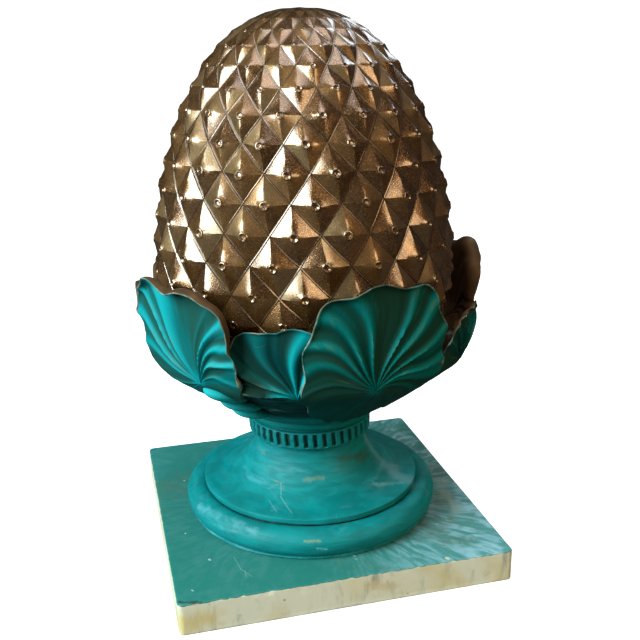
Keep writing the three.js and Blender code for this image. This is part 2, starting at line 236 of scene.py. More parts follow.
def new_object(name: str, data: bpy.types.ID) -> Object:
    """Puts a new object in the scene.

    Args:
        name: Its name.
        data: Its mesh, light or camera.

    Returns:
        The object.
    """
    made = bpy.data.objects.new(name, data)
    bpy.context.scene.collection.objects.link(made)
    return made


@dataclass
class Skin:
    """One closed skin, before it becomes a piece.

    Attributes:
        points: The corner points.
        faces: Four point indices a face. Two alike make it a triangle.
        masks: Values or vectors at the points, which the finish reads by name.
        tints: One value for each face, which the finish reads as "tint", or nothing.
    """

    points: Array
    faces: Array
    masks: dict[str, Array] = field(default_factory=dict)
    tints: Array | None = None

    @classmethod
    def from_grid(cls, grid: Array, **masks: Array) -> "Skin":
        """A skin from a wrapped grid of points, with masks of the grid's shape."""
        rows, columns = grid.shape[:2]
        flat = {name: mask.reshape(rows * columns, *mask.shape[2:]) for name, mask in masks.items()}
        return cls(grid.reshape(-1, 3), wrapped_faces(rows, columns), flat).welded()

    def welded(self) -> "Skin":
        """Joins the points that share a place, which closes the seams and poles."""
        keys = np.round(self.points / WELD).astype(np.int64)
        _, first, inverse = np.unique(keys, axis=0, return_index=True, return_inverse=True)
        masks = {name: mask[first] for name, mask in self.masks.items()}
        return Skin(self.points[first], inverse.reshape(-1)[self.faces], masks, self.tints).outwards()

    def outwards(self) -> "Skin":
        """Turns the faces over if the skin's signed volume says that they point in."""
        a, b, c, d = (self.points[self.faces[:, k]] for k in range(4))
        volume = np.sum(np.cross(a, b) * c) + np.sum(np.cross(a, c) * d)
        faces = self.faces if volume > 0 else self.faces[:, ::-1]
        return Skin(self.points, faces, self.masks, self.tints)

    def joined(self, other: "Skin") -> "Skin":
        """This skin and another in one piece. Both have the same masks."""
        points = np.concatenate([self.points, other.points])
        faces = np.concatenate([self.faces, other.faces + len(self.points)])
        masks = {name: np.concatenate([mask, other.masks[name]]) for name, mask in self.masks.items()}
        tints = None if self.tints is None else np.concatenate([self.tints, np.zeros(len(other.faces))])
        return Skin(points, faces, masks, tints)

    def sorted_faces(self) -> tuple[Array, Array, Array]:
        """The faces with four different corners, those with three, without the repeated one, and
        the order in which both lists take the faces."""
        same = self.faces == np.roll(self.faces, -1, axis=1)
        repeats = same.sum(axis=1)
        bent = self.faces[repeats == 1]
        keep = (same[repeats == 1].argmax(axis=1)[:, None] + np.arange(1, 4)) % 4
        order = np.concatenate([np.flatnonzero(repeats == 0), np.flatnonzero(repeats == 1)])
        return self.faces[repeats == 0], np.take_along_axis(bent, keep, axis=1), order

    def piece(self, name: str, node: str, slot: Slot, finish: Material, crease: float) -> None:
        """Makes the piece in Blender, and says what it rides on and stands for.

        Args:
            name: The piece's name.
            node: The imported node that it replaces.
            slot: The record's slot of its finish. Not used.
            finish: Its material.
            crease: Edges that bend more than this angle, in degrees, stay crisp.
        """
        quads, triangles, order = self.sorted_faces()
        corners = np.concatenate([quads.ravel(), triangles.ravel()])
        starts = np.concatenate([4 * np.arange(len(quads)), quads.size + 3 * np.arange(len(triangles))])
        mesh = bpy.data.meshes.new(name)
        mesh.vertices.add(len(self.points))
        mesh.vertices.foreach_set("co", self.points.astype(np.float32).ravel())
        mesh.loops.add(len(corners))
        mesh.loops.foreach_set("vertex_index", corners.astype(np.int32))
        mesh.polygons.add(len(starts))
        mesh.polygons.foreach_set("loop_start", starts.astype(np.int32))
        mesh.update(calc_edges=True)
        if mesh.validate():
            log.warning("%s had faces that Blender mended", name)
        mesh.shade_smooth()
        mesh.set_sharp_from_angle(angle=math.radians(crease))
        for mask_name, values in self.masks.items():
            kind, key = ("FLOAT", "value") if values.ndim == 1 else ("FLOAT_VECTOR", "vector")
            attribute = mesh.attributes.new(mask_name, kind, "POINT")
            attribute.data.foreach_set(key, values.astype(np.float32).ravel())
        if self.tints is not None:
            tint = mesh.attributes.new("tint", "FLOAT", "FACE")
            tint.data.foreach_set("value", self.tints[order].astype(np.float32))
        mesh.materials.append(finish)
        made = new_object(name, mesh)
        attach(made, BODY)
        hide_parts(node)
        log.info("%s: %d triangles", name, 2 * len(quads) + len(triangles))


class Nodes:
    """Adds nodes to one shader tree and links them."""

    def __init__(self, tree: NodeTree) -> None:
        """Keeps the tree that nodes are added to."""
        self.tree = tree

    def add(self, kind: str, inputs: dict | None = None, **settings: object) -> Node:
        """Adds a node.

        Args:
            kind: Blender's name of the node type.
            inputs: Values or output sockets for its inputs, by name or number.
            **settings: Its other properties.

        Returns:
            The node.
        """
        node = self.tree.nodes.new(kind)
        for name, value in settings.items():
            setattr(node, name, value)
        for name, value in (inputs or {}).items():
            socket = node.inputs[name]
            if isinstance(value, NodeSocket):
                self.tree.links.new(value, socket)
            elif isinstance(value, tuple) and socket.type == "RGBA":
                socket.default_value = (*value, 1)
            else:
                socket.default_value = value
        return node

    def noise(self, place: object, scale: float, detail: float = 3, twist: float = 0) -> object:
        """Noise between 0 and 1 at a place, with a scale in cells a metre."""
        inputs = {"Vector": place, "Scale": scale, "Detail": detail, "Distortion": twist}
        return self.add("ShaderNodeTexNoise", inputs).outputs["Fac"]

    def ramp(self, value: object, low: object, high: object) -> object:
        """Smoothstep of a value from low to high, or falling where low is over high."""
        inputs = {"Value": value, "From Min": low, "From Max": high}
        return self.add("ShaderNodeMapRange", inputs, interpolation_type="SMOOTHSTEP").outputs["Result"]

    def maths(self, operation: str, *values: object) -> object:
        """A Math node's result."""
        inputs = dict(enumerate(values))
        return self.add("ShaderNodeMath", inputs, operation=operation).outputs["Value"]

    def times(self, first: object, second: object) -> object:
        """Two values multiplied."""
        return self.maths("MULTIPLY", first, second)

    def times_plus(self, first: object, second: object, third: object) -> object:
        """Two values multiplied, and a third added."""
        return self.maths("MULTIPLY_ADD", first, second, third)

    def mix(self, share: object, first: object, second: object) -> object:
        """A colour between two colours. The node's colour sockets go by number."""
        inputs = {0: share, 6: first, 7: second}
        return self.add("ShaderNodeMix", inputs, data_type="RGBA").outputs[2]

    def vector(self, operation: str, output: str, inputs: dict) -> object:
        """A Vector Math node's result, which is its Vector or its Value output."""
        return self.add("ShaderNodeVectorMath", inputs, operation=operation).outputs[output]

    def stretched(self, place: object, scale: Place) -> object:
        """A place scaled by three factors, which stretches a pattern along the smaller ones."""
        inputs = {"Vector": place, "Scale": scale}
        return self.add("ShaderNodeMapping", inputs).outputs["Vector"]

    def mask(self, name: str, output: str = "Fac") -> object:
        """What the mesh holds at its points: a value, or the Vector output's vector."""
        return self.add("ShaderNodeAttribute", attribute_name=name).outputs[output]

    def place(self) -> object:
        """Object coordinates."""
        return self.add("ShaderNodeTexCoord").outputs["Object"]

    def shared(self, group: NodeTree, **inputs: object) -> object:
        """Places a shared effect with its own values.

        Args:
            group: The effect's node group.
            **inputs: Its inputs, in small letters.

        Returns:
            The group's first output.
        """
        named = {name.capitalize(): value for name, value in inputs.items()}
        return self.add("ShaderNodeGroup", named, node_tree=group).outputs[0]


class Effects:
    """Shader node groups that several finishes share. Each puts out one mask or value."""

    def __init__(self) -> None:
        """Builds every group once."""
        self.scuffs = self.build("scuffs", ("Scale", "Low", "High"), self.fill_scuffs)
        self.worn_edge = self.build("worn_edge", ("Edge", "Scale", "Low", "High"), self.fill_worn_edge)
        self.scratches = self.build("scratches", ("Scale", "Width", "Rarity"), self.fill_scratches)
        self.pits = self.build("pits", ("Scale", "Size", "Rarity"), self.fill_pits)
        self.stroke = self.build("stroke", ("Width",), self.fill_stroke, ("Start", "Stop"))

    @staticmethod
    def build(
        name: str, values: tuple[str, ...], fill: object, points: tuple[str, ...] = ()
    ) -> NodeTree:
        """Makes a group with a Place input, named value inputs and a Mask output.

        Args:
            name: The group's name.
            values: Names of its value inputs.
            fill: Puts its nodes in and returns the mask.
            points: Names of its other vector inputs.

        Returns:
            The group.
        """
        tree = bpy.data.node_groups.new(name, "ShaderNodeTree")
        for point in ("Place", *points):
            tree.interface.new_socket(name=point, in_out="INPUT", socket_type="NodeSocketVector")
        for value in values:
            tree.interface.new_socket(name=value, in_out="INPUT", socket_type="NodeSocketFloat")
        tree.interface.new_socket(name="Mask", in_out="OUTPUT", socket_type="NodeSocketFloat")
        nodes = Nodes(tree)
        given = nodes.add("NodeGroupInput").outputs
        nodes.add("NodeGroupOutput", {"Mask": fill(nodes, given)})
        return tree

    @staticmethod
    def fill_scuffs(nodes: Nodes, given: object) -> object:
        """Patches: broad noise broken up by noise four times as fine."""
        broad = nodes.noise(given["Place"], given["Scale"], 4, 0.4)
        finer = nodes.times(given["Scale"], 4.3)
        fine = nodes.noise(given["Place"], finer, 5, 0.8)
        sum_of_both = nodes.times_plus(fine, 0.45, broad)
        return nodes.ramp(sum_of_both, given["Low"], given["High"])

    @staticmethod
    def fill_worn_edge(nodes: Nodes, given: object) -> object:
        """An edge mask, eaten into by noise."""
        eaten = nodes.noise(given["Place"], given["Scale"], 4, 0.5)
        value = nodes.times_plus(nodes.maths("SUBTRACT", eaten, 0.5), 0.7, given["Edge"])
        return nodes.ramp(value, given["Low"], given["High"])

    @staticmethod
    def fill_scratches(nodes: Nodes, given: object) -> object:
        """Thin curved lines: where noise passes its middle value, kept only in rare patches."""
        wander = nodes.noise(given["Place"], given["Scale"], 1, 0.6)
        off_line = nodes.maths("ABSOLUTE", nodes.maths("SUBTRACT", wander, 0.5))
        line = nodes.ramp(off_line, given["Width"], 0)
        where = nodes.noise(given["Place"], nodes.times(given["Scale"], 1.7), 2, 0)
        kept = nodes.ramp(where, given["Rarity"], nodes.maths("ADD", given["Rarity"], 0.06))
        return nodes.times(line, kept)

    @staticmethod
    def fill_stroke(nodes: Nodes, given: object) -> object:
        """A ragged band between two points: the distance to the line between them, with noise."""
        line = nodes.vector("SUBTRACT", "Vector", {0: given["Stop"], 1: given["Start"]})
        off = nodes.vector("SUBTRACT", "Vector", {0: given["Place"], 1: given["Start"]})
        along = nodes.maths("DIVIDE", nodes.vector("DOT_PRODUCT", "Value", {0: off, 1: line}),
                            nodes.vector("DOT_PRODUCT", "Value", {0: line, 1: line}))
        share = nodes.maths("MINIMUM", nodes.maths("MAXIMUM", along, 0), 1)
        nearest = nodes.vector("SCALE", "Vector", {0: line, "Scale": share})
        distance = nodes.vector("DISTANCE", "Value", {0: off, 1: nearest})
        eaten = nodes.noise(given["Place"], nodes.maths("DIVIDE", 0.8, given["Width"]), 4, 0.5)
        ragged = nodes.times(nodes.maths("SUBTRACT", eaten, 0.4), given["Width"])
        distance = nodes.times_plus(ragged, 1.8, distance)
        return nodes.ramp(distance, given["Width"], nodes.times(given["Width"], 0.2))

    @staticmethod
    def fill_pits(nodes: Nodes, given: object) -> object:
        """Small round pits: the middles of scattered cells, of which rare ones are kept."""
        inputs = {"Vector": given["Place"], "Scale": given["Scale"]}
        cells = nodes.add("ShaderNodeTexVoronoi", inputs)
        spot = nodes.ramp(cells.outputs["Distance"], given["Size"], 0)
        pick = nodes.add("ShaderNodeSeparateColor", {"Color": cells.outputs["Color"]}).outputs[0]
        kept = nodes.maths("GREATER_THAN", pick, given["Rarity"])
        return nodes.times(spot, kept)


@dataclass(frozen=True)
class Patch:
    """How a pattern of patches lies.

    Attributes:
        scale: Its noise's cells a metre.
        low: Noise at which the patches start.
        high: Noise at which they are full.
    """

    scale: float
    low: float
    high: float


@dataclass(frozen=True)
class Mark:
    """A rub, a stain, a scratch, a painted highlight or a painted shade: a ragged band between two
    points, all in millimetres.

    Attributes:
        start: One end.
        stop: The other end.
        width: Half its width.
        colour: Its colour.
        strength: Share of the paint that it covers.
        level: Whether heights are left out, for marks on faces that are nearly level.
    """

    start: Place
    stop: Place
    width: float
    colour: Colour
    strength: float = 0.8
    level: bool = False


@dataclass(frozen=True)
class Finish:
    """What every finish has: a start for its material, and patches, marks and a bump to put on it.

    Attributes:
        effects: The shared effects.
    """

    effects: Effects

    def start(self, name: str) -> tuple[Material, Nodes, Node]:
        """Makes a material with an empty Principled surface.

        Args:
            name: The material's name.

        Returns:
            The material, its nodes and the surface's node.
        """
        material = bpy.data.materials.new(name)
        material.use_nodes = True
        material.node_tree.nodes.clear()
        nodes = Nodes(material.node_tree)
        surface = nodes.add("ShaderNodeBsdfPrincipled")
        nodes.add("ShaderNodeOutputMaterial", {"Surface": surface.outputs["BSDF"]})
        return material, nodes, surface

    @staticmethod
    def noise_patches(
        nodes: Nodes, place: object, patch: Patch, detail: float, twist: float = 0
    ) -> object:
        """Plain noise patches, as a patch says."""
        return nodes.ramp(nodes.noise(place, patch.scale, detail, twist), patch.low, patch.high)

    def scuffs(self, nodes: Nodes, place: object, patch: Patch) -> object:
        """The shared scuffs, as a patch says."""
        return nodes.shared(self.effects.scuffs, place=place, **vars(patch))

    def worn(self, nodes: Nodes, place: object, edge: object, patch: Patch) -> object:
        """The shared worn edge, as a patch says."""
        return nodes.shared(self.effects.worn_edge, place=place, edge=edge, **vars(patch))

    def scratches(
        self, nodes: Nodes, place: object, scale: float, width: float, rarity: float
    ) -> object:
        """The shared scratches: lines a metre, their width and how rare they are."""
        return nodes.shared(self.effects.scratches, place=place, scale=scale, width=width, rarity=rarity)

    def marked(self, nodes: Nodes, colour: object, place: object, marks: tuple[Mark, ...]) -> object:
        """Lays marks over a colour.

        Args:
            nodes: The material's nodes.
            colour: The colour under them.
            place: Object coordinates.
            marks: The marks.

        Returns:
            The marked colour.
        """
        flat = nodes.stretched(place, (1, 1, 0))
        for mark in marks:
            scale = (MM, MM, 0 if mark.level else MM)
            start, stop = (tuple(a * b for a, b in zip(end, scale)) for end in (mark.start, mark.stop))
            where = flat if mark.level else place
            mask = nodes.shared(
                self.effects.stroke, place=where, start=start, stop=stop, width=mark.width * MM)
            colour = nodes.mix(nodes.times(mask, mark.strength), colour, mark.colour)
        return colour

    def dress(
        self, nodes: Nodes, surface: Node, colour: object, roughness: object,
        height: object, depth: float,
    ) -> None:
        """Feeds a surface with its colour, its roughness and a bump.

        Args:
            nodes: The material's nodes.
            surface: The Principled node.
            colour: Base colour.
            roughness: Roughness.
            height: Height of the bump, between 0 and 1.
            depth: What a height of 1 measures, in metres.
        """
        links = nodes.tree.links
        links.new(colour, surface.inputs["Base Color"])
        links.new(roughness, surface.inputs["Roughness"])
        bump = nodes.add("ShaderNodeBump", {"Height": height, "Distance": depth, "Strength": 1.0})
        links.new(bump.outputs["Normal"], surface.inputs["Normal"])


@dataclass(frozen=True)
class TealPaint(Finish):
    """Brushed teal paint over bronze-brown casting, with scuffs, dry glaze, worn edges, painted shade in
    the valleys and painted highlights on the ridges.

    Attributes:
        name: The material's name.
        teal: The paint where it is thick.
        shade: Painted shade in the hollows and valleys.
        dust: Blue-grey scuffs.
        ochre: Rubbed patches.
        glaze: The dry olive glaze in the valleys, which also darkens them as painted shade.
        streak: Thin dry strokes along the ridges.
        light: Painted highlight on the ridges.
        beige: The bare casting where it is warmer.
        pale: The bare casting on worn edges.
        bronze: The inside of the leaves.
        scuffed: Least noise at which scuffs start, lower for more.
        scratched: Strength of the scratches.
        shaded: Strength of the painted shade in the valleys.
        glazed: Strength of the dry glaze.
        streaked: Strength of the dry strokes.
        bared: Strength of the worn edges.
        lit: Strength of the painted highlight on the ridges.
        gloss: Strength of its shine.
        flow: Name of the mesh's vector along which brush marks run, or empty for level marks.
        marks: Its own rubs, stains and scratches, and painted highlights and shades.
        mottle: Patches of thinner paint.
        dry: The dry glaze's patches.
        dusty: The scuffs' scale, with their start and end over the start that the paint gives.
        rubbed: The rubbed patches.
        strokes: The dry strokes.
        edge: The worn edges.
        warm: Where the bare casting is warmer.
        depth: What a height of 1 measures in its bump.
    """

    name: str
    teal: Colour = (0.0, 0.25, 0.235)
    shade: Colour = (0.0, 0.06, 0.05)
    dust: Colour = (0.05, 0.34, 0.37)
    ochre: Colour = (0.2, 0.24, 0.13)
    glaze: Colour = (0.016, 0.06, 0.036)
    pale: Colour = (0.4, 0.56, 0.5)
    beige: Colour = (0.5, 0.4, 0.24)
    streak: Colour = (0.11, 0.24, 0.15)
    light: Colour = (0.01, 0.48, 0.51)
    bronze: Colour = (0.07, 0.04, 0.02)
    scuffed: float = 0.75
    scratched: float = 0.5
    shaded: float = 0.85
    glazed: float = 0.6
    streaked: float = 0.5
    bared: float = 0.8
    lit: float = 0.3
    gloss: float = 0.14
    flow: str = ""
    marks: tuple[Mark, ...] = ()
    mottle: Patch = Patch(55.0, 0.3, 0.7)
    dry: Patch = Patch(38.0, 0.58, 0.82)
    dusty: Patch = Patch(21.0, 0.0, 0.2)
    rubbed: Patch = Patch(33.0, 0.94, 1.02)
    strokes: Patch = Patch(480.0, 0.5, 0.68)
    edge: Patch = Patch(140.0, 0.9, 1.15)
    warm: Patch = Patch(45.0, 0.4, 0.6)
    depth: float = 0.25 * MM

    def material(self) -> Material:
        """Builds the paint.

        Returns:
            The material.
        """
        material, nodes, surface = self.start(self.name)
        place = nodes.place()
        brushed = nodes.mask(self.flow, "Vector") if self.flow else nodes.stretched(place, (1, 1, 5))
        valley, rim, inside = nodes.mask("valley"), nodes.mask("rim"), nodes.mask("inside")
        thin_teal = tuple(0.72 * c for c in self.teal)
        bright_bronze = tuple(2.4 * c for c in self.bronze)
        mottle = self.noise_patches(nodes, brushed, self.mottle, 5, 0.6)
        colour = nodes.mix(mottle, self.teal, thin_teal)
        # Painted highlight: lighter paint on the crests.
        colour = nodes.mix(nodes.times(nodes.mask("crest"), self.lit), colour, self.light)
        # Painted shade: darker paint in the valleys, the recesses and where leaves are tucked.
        deep = nodes.maths("MINIMUM", nodes.times(valley, self.shaded), 1.0)
        colour = nodes.mix(deep, colour, self.shade)
        # Dry olive glaze in the valleys: partly a glaze, partly more painted shade there.
        in_valleys = nodes.times(nodes.ramp(valley, 0.15, 0.9), self.glazed)
        dry = nodes.times(self.scuffs(nodes, brushed, self.dry), in_valleys)
        colour = nodes.mix(dry, colour, self.glaze)
        start, stop = self.dusty.low + self.scuffed, self.dusty.high + self.scuffed
        dusty = self.scuffs(nodes, brushed, replace(self.dusty, low=start, high=stop))
        out_of_valleys = nodes.maths("SUBTRACT", 0.8, nodes.times(valley, 0.8))
        colour = nodes.mix(nodes.times(dusty, out_of_valleys), colour, self.dust)
        rubbed = self.scuffs(nodes, brushed, self.rubbed)
        colour = nodes.mix(nodes.times(rubbed, 0.8), colour, self.ochre)
        strokes = nodes.times(self.noise_patches(nodes, brushed, self.strokes, 3), nodes.mask("crest"))
        colour = nodes.mix(nodes.times(strokes, self.streaked), colour, self.streak)
        scratched = self.scratches(nodes, place, scale=24.0, width=0.0035, rarity=0.6)
        colour = nodes.mix(nodes.times(scratched, self.scratched), colour, self.pale)
        bronze_tone = nodes.mix(nodes.noise(place, 90, 4), self.bronze, bright_bronze)
        colour = nodes.mix(inside, colour, bronze_tone)
        bare = nodes.mix(self.noise_patches(nodes, place, self.warm, 3), self.pale, self.beige)
        worn = self.worn(nodes, place, rim, self.edge)
        colour = nodes.mix(nodes.times(worn, self.bared), colour, bare)
        colour = self.marked(nodes, colour, place, self.marks)
        roughness = nodes.ramp(nodes.noise(brushed, 70, 4), -0.6, 1.4)
        grain = nodes.times(nodes.noise(brushed, 420, 3), 0.35)
        height = nodes.maths("ADD", grain, nodes.times(scratched, -0.5))
        height = nodes.maths("ADD", height, nodes.times(mottle, 0.35))
        self.dress(nodes, surface, colour, roughness, height, self.depth)
        nodes.tree.links.new(nodes.times(inside, 0.5), surface.inputs["Metallic"])
        surface.inputs["Specular IOR Level"].default_value = self.gloss
        return material


@dataclass(frozen=True)
class BronzePaint(Finish):
    """Metallic bronze-gold paint with a fine glitter, painted shade in the recesses, and pale ridges
    that are partly wear and partly painted glints.

    Attributes:
        gold: The paint.
        brown: The paint where it is thin.
        umber: Painted shade in the recesses and the studs' dimples.
        dull: Facets where it is greyer, partly as random tone and partly as painted reflection.
        pale: Ridges, stud rims and cords, pale as wear and as painted glints.
        edge: How the pale on the ridges and cords is broken up.
        metallic: How metallic it is.
        coat: Strength of the clear coat.
        coat_bend: How strongly the coat bends light.
        coat_roughness: Roughness of the coat.
        depth: What a height of 1 measures in its bump.
    """

    gold: Colour = (0.25, 0.12, 0.036)
    brown: Colour = (0.1, 0.042, 0.012)
    umber: Colour = (0.03, 0.014, 0.006)
    dull: Colour = (0.2, 0.15, 0.075)
    pale: Colour = (0.8, 0.76, 0.68)
    edge: Patch = Patch(190.0, 0.45, 0.9)
    metallic: float = 0.7
    coat: float = 0.9
    coat_bend: float = 1.75
    coat_roughness: float = 0.17
    depth: float = 0.16 * MM

    def material(self) -> Material:
        """Builds the paint.

        Returns:
            The material.
        """
        material, nodes, surface = self.start("bronze_paint")
        place = nodes.place()
        rise, ridge, cord, pit = (nodes.mask(name) for name in ("rise", "ridge", "cord", "pit"))
        tint = nodes.mask("tint")
        # Each facet's tint gives it its own tone, and turns some facets greyer as painted reflection.
        cloud = nodes.times_plus(tint, 0.3, nodes.noise(place, 60, 5))
        colour = nodes.mix(nodes.ramp(cloud, 0.25, 0.75), self.brown, self.gold)
        colour = nodes.mix(nodes.times(nodes.ramp(tint, 0.45, 0.8), 0.6), colour, self.dull)
        glitter = nodes.ramp(nodes.noise(place, 1500, 2), 0.5, 0.7)
        colour = nodes.mix(glitter, colour, tuple(2.0 * c for c in self.gold))
        # Painted shade: the low parts of the scales and the studs' dimples turn dark.
        low = nodes.ramp(rise, 0.14, 0.0)
        colour = nodes.mix(nodes.times(low, 0.5), colour, self.umber)
        hollow = nodes.times(nodes.ramp(pit, 0.3, 1.0), 0.4)
        colour = nodes.mix(hollow, colour, self.umber)
        # Pale on the ridges, the stud rims and the cords: partly wear, partly painted glints.
        edge = nodes.maths("MAXIMUM", nodes.maths("POWER", ridge, 3.0), nodes.maths("POWER", cord, 3.0))
        worn = self.worn(nodes, place, edge, self.edge)
        colour = nodes.mix(nodes.times(worn, 0.85), colour, self.pale)
        roughness = nodes.times_plus(nodes.noise(place, 130, 4), 0.25, 0.165)
        roughness = nodes.times_plus(tint, 0.07, roughness)
        grain = nodes.times(nodes.noise(place, 1100, 3), 0.9)
        height = nodes.maths("ADD", grain, nodes.times(nodes.noise(place, 260, 3), 0.5))
        self.dress(nodes, surface, colour, roughness, height, self.depth)
        surface.inputs["Metallic"].default_value = self.metallic
        surface.inputs["Coat Weight"].default_value = self.coat
        surface.inputs["Coat IOR"].default_value = self.coat_bend
        surface.inputs["Coat Roughness"].default_value = self.coat_roughness
        return material


@dataclass(frozen=True)
class PlinthFinish(Finish):
    """Bare ivory casting on the sides, and teal paint on the top that ends in a ragged lip.

    Attributes:
        ivory: The casting.
        yellow: Aged patches.
        grey: Upright stains, and the darkening towards the lower edge.
        dirt: The pits.
        teal: The paint on the top.
        cloudy: Blue-grey brushwork in it.
        olive: Thin warm patches in it.
        chip: Bare specks in it.
        top: Height of the plinth's top.
        lip: How far down the sides the paint laps.
        marks: Its own patches, rubs and scratches, and painted shade in a chip at a corner.
        stains: The upright stains.
        clouds: Where the brushwork is cloudy.
        thin: The thin warm patches.
        gloss: Strength of its shine.
        depth: What a height of 1 measures in its bump.
    """

    top: float
    ivory: Colour = (0.97, 0.95, 0.74)
    yellow: Colour = (0.88, 0.74, 0.38)
    grey: Colour = (0.36, 0.35, 0.29)
    dirt: Colour = (0.1, 0.09, 0.07)
    teal: Colour = (0.02, 0.21, 0.175)
    cloudy: Colour = (0.26, 0.5, 0.56)
    olive: Colour = (0.1, 0.15, 0.09)
    chip: Colour = (0.7, 0.78, 0.66)
    lip: float = 0.9 * MM
    marks: tuple[Mark, ...] = ()
    stains: Patch = Patch(88.0, 0.7, 1.0)
    clouds: Patch = Patch(22.0, 0.5, 0.8)
    thin: Patch = Patch(17.0, 0.78, 1.0)
    gloss: float = 0.4
    depth: float = 0.3 * MM

    def material(self) -> Material:
        """Builds the two finishes and the line between them.

        Returns:
            The material.
        """
        material, nodes, surface = self.start("plinth_finish")
        place = nodes.place()
        height = nodes.add("ShaderNodeSeparateXYZ", {"Vector": place}).outputs["Z"]
        pits = nodes.shared(self.effects.pits, place=place, scale=130.0, size=0.16, rarity=0.93)
        resin = self.resin(nodes, place, height, pits)
        paint = self.paint(nodes, place, pits)
        ragged = nodes.times_plus(nodes.noise(place, 140, 5), 2.6 * self.lip, height)
        painted = nodes.ramp(ragged, self.top + 0.1 * MM, self.top + 0.45 * MM)
        colour = self.marked(nodes, nodes.mix(painted, resin, paint), place, self.marks)
        roughness = nodes.times_plus(nodes.noise(place, 40, 4), 0.2, 0.38)
        bump = nodes.times_plus(nodes.noise(place, 330, 4), 0.3, nodes.times(painted, 0.5))
        bump = nodes.maths("SUBTRACT", bump, pits)
        self.dress(nodes, surface, colour, roughness, bump, self.depth)
        surface.inputs["Specular IOR Level"].default_value = self.gloss
        return material

    def resin(self, nodes: Nodes, place: object, height: object, pits: object) -> object:
        """The casting's colour: yellow patches, upright grey stains and grey darkening towards the lower
        edge.
        """
        aged = nodes.ramp(nodes.noise(place, 22, 4, 0.5), 0.5, 0.8)
        colour = nodes.mix(aged, self.ivory, self.yellow)
        upright = nodes.stretched(place, (1, 1, 0.3))
        patchy = nodes.ramp(nodes.noise(place, 14, 2), 0.35, 0.65)
        stained = self.scuffs(nodes, upright, self.stains)
        stained = nodes.times(stained, nodes.times_plus(patchy, 0.7, 0.2))
        colour = nodes.mix(stained, colour, self.grey)
        # Darker towards the lower edge, along a ragged line.
        ragged_height = nodes.times_plus(nodes.noise(place, 110, 5), 4 * MM, height)
        low = nodes.ramp(ragged_height, 3.6 * MM, 2.0 * MM)
        colour = nodes.mix(nodes.times(low, 0.6), colour, self.grey)
        return nodes.mix(nodes.times(pits, 0.9), colour, self.dirt)

    def paint(self, nodes: Nodes, place: object, pits: object) -> object:
        """The top's colour: brushed clouds towards the right, warm thin patches and bare specks."""
        split = nodes.add("ShaderNodeSeparateXYZ", {"Vector": place}).outputs
        rightwards = nodes.ramp(split["X"], -0.02, 0.11)
        turn = nodes.times(nodes.maths("ARCTAN2", split["Y"], split["X"]), 0.1)
        reach = nodes.times(nodes.vector("LENGTH", "Value", {0: place}), 0.28)
        outwards = nodes.add("ShaderNodeCombineXYZ", {"X": turn, "Y": reach}).outputs["Vector"]
        swirled = self.scuffs(nodes, place, self.clouds)
        strokes = nodes.ramp(nodes.noise(outwards, 190, 6, 1.2), 0.38, 0.66)
        cloudy = nodes.times(nodes.times_plus(strokes, 0.75, 0.2), swirled)
        cloudy = nodes.times(cloudy, nodes.times_plus(rightwards, 1.05, 0.12))
        colour = nodes.mix(cloudy, self.teal, self.cloudy)
        warm = self.scuffs(nodes, place, self.thin)
        colour = nodes.mix(nodes.times(warm, 0.6), colour, self.olive)
        scratched = self.scratches(nodes, place, scale=20.0, width=0.004, rarity=0.62)
        bare = nodes.maths("MAXIMUM", nodes.times(scratched, 0.6), pits)
        return nodes.mix(nodes.times(bare, 0.8), colour, self.chip)


PALE_OCHRE: Colour = (0.5, 0.42, 0.2)
PALE_TEAL: Colour = (0.3, 0.55, 0.52)
DARK_OLIVE: Colour = (0.04, 0.09, 0.045)
FOOT_MARKS: tuple[Mark, ...] = (
    Mark((-15.3, -46.3, 60.8), (-2.6, -48.1, 61.4), 3.4, PALE_OCHRE, 0.22),
    Mark((-31.4, -40.1, 0), (-33.7, -50.0, 0), 0.45, PALE_TEAL, 0.5, True),
    Mark((-33.7, -50.0, 0), (-29.8, -67.1, 0), 0.5, PALE_TEAL, 0.55, True),
    Mark((-42.2, -49.1, 0), (-39.4, -62.9, 0), 0.45, PALE_TEAL, 0.45, True),
    Mark((14.7, -39.7, 70.6), (37.3, -27.8, 63.3), 7, DARK_OLIVE, 0.6),
    Mark((35.7, -49.8, 51.7), (56.8, -46.3, 48.4), 4, (0.24, 0.5, 0.56), 0.4),
    Mark((-26.0, -88.2, 38.3), (-16.2, -90.6, 38.1), 1.8, PALE_OCHRE, 0.4),
    Mark((-18.6, -91.5, 33.7), (-11.9, -92.6, 32.4), 0.9, PALE_TEAL, 0.8),
    Mark((42, -12, 0), (62, -42, 0), 15, (0.2, 0.44, 0.5), 0.45, True),
    Mark((72, -52, 36), (90, -12, 38), 6, (0.22, 0.44, 0.46), 0.4),
    # Painted highlight along the left of the ring.
    Mark((-89, -24, 38), (-58, -70, 41), 5, (0.2, 0.5, 0.58), 0.35),
    # Painted shade in a pit in the disc's edge.
    Mark((-80.1, 0.2, 45.5), (-79.9, -1.5, 45.3), 1.8, (0.01, 0.03, 0.03), 0.9),
)
PLINTH_MARKS: tuple[Mark, ...] = (
    Mark((-114, -115, 9), (-92, -115, 10), 13, (0.86, 0.68, 0.26), 0.75),
    Mark((9.9, -115, 14.3), (29.5, -115, 10.6), 7, (0.82, 0.64, 0.32), 0.55),
    Mark((102.2, -6.9, 0), (98.5, -54.0, 0), 9, (0.3, 0.4, 0.36), 0.6, True),
    Mark((-71.7, -70.4, 0), (-69.6, -85.7, 0), 0.6, PALE_TEAL, 0.4, True),
    Mark((-69.6, -85.7, 0), (-64.0, -95.6, 0), 0.6, PALE_TEAL, 0.4, True),
    Mark((-88.5, -68.1, 0), (-88.0, -69.5, 0), 1.3, (0.6, 0.72, 0.66), 0.9, True),
    Mark((-104.0, -100.3, 0), (-103.5, -101.0, 0), 1.2, (0.6, 0.72, 0.66), 0.8, True),
    # Painted shade in the chip at the top's front left corner.
    Mark((-113, -111, 22.9), (-101, -114.6, 22.6), 2.4, (0.03, 0.05, 0.04), 0.85),
)


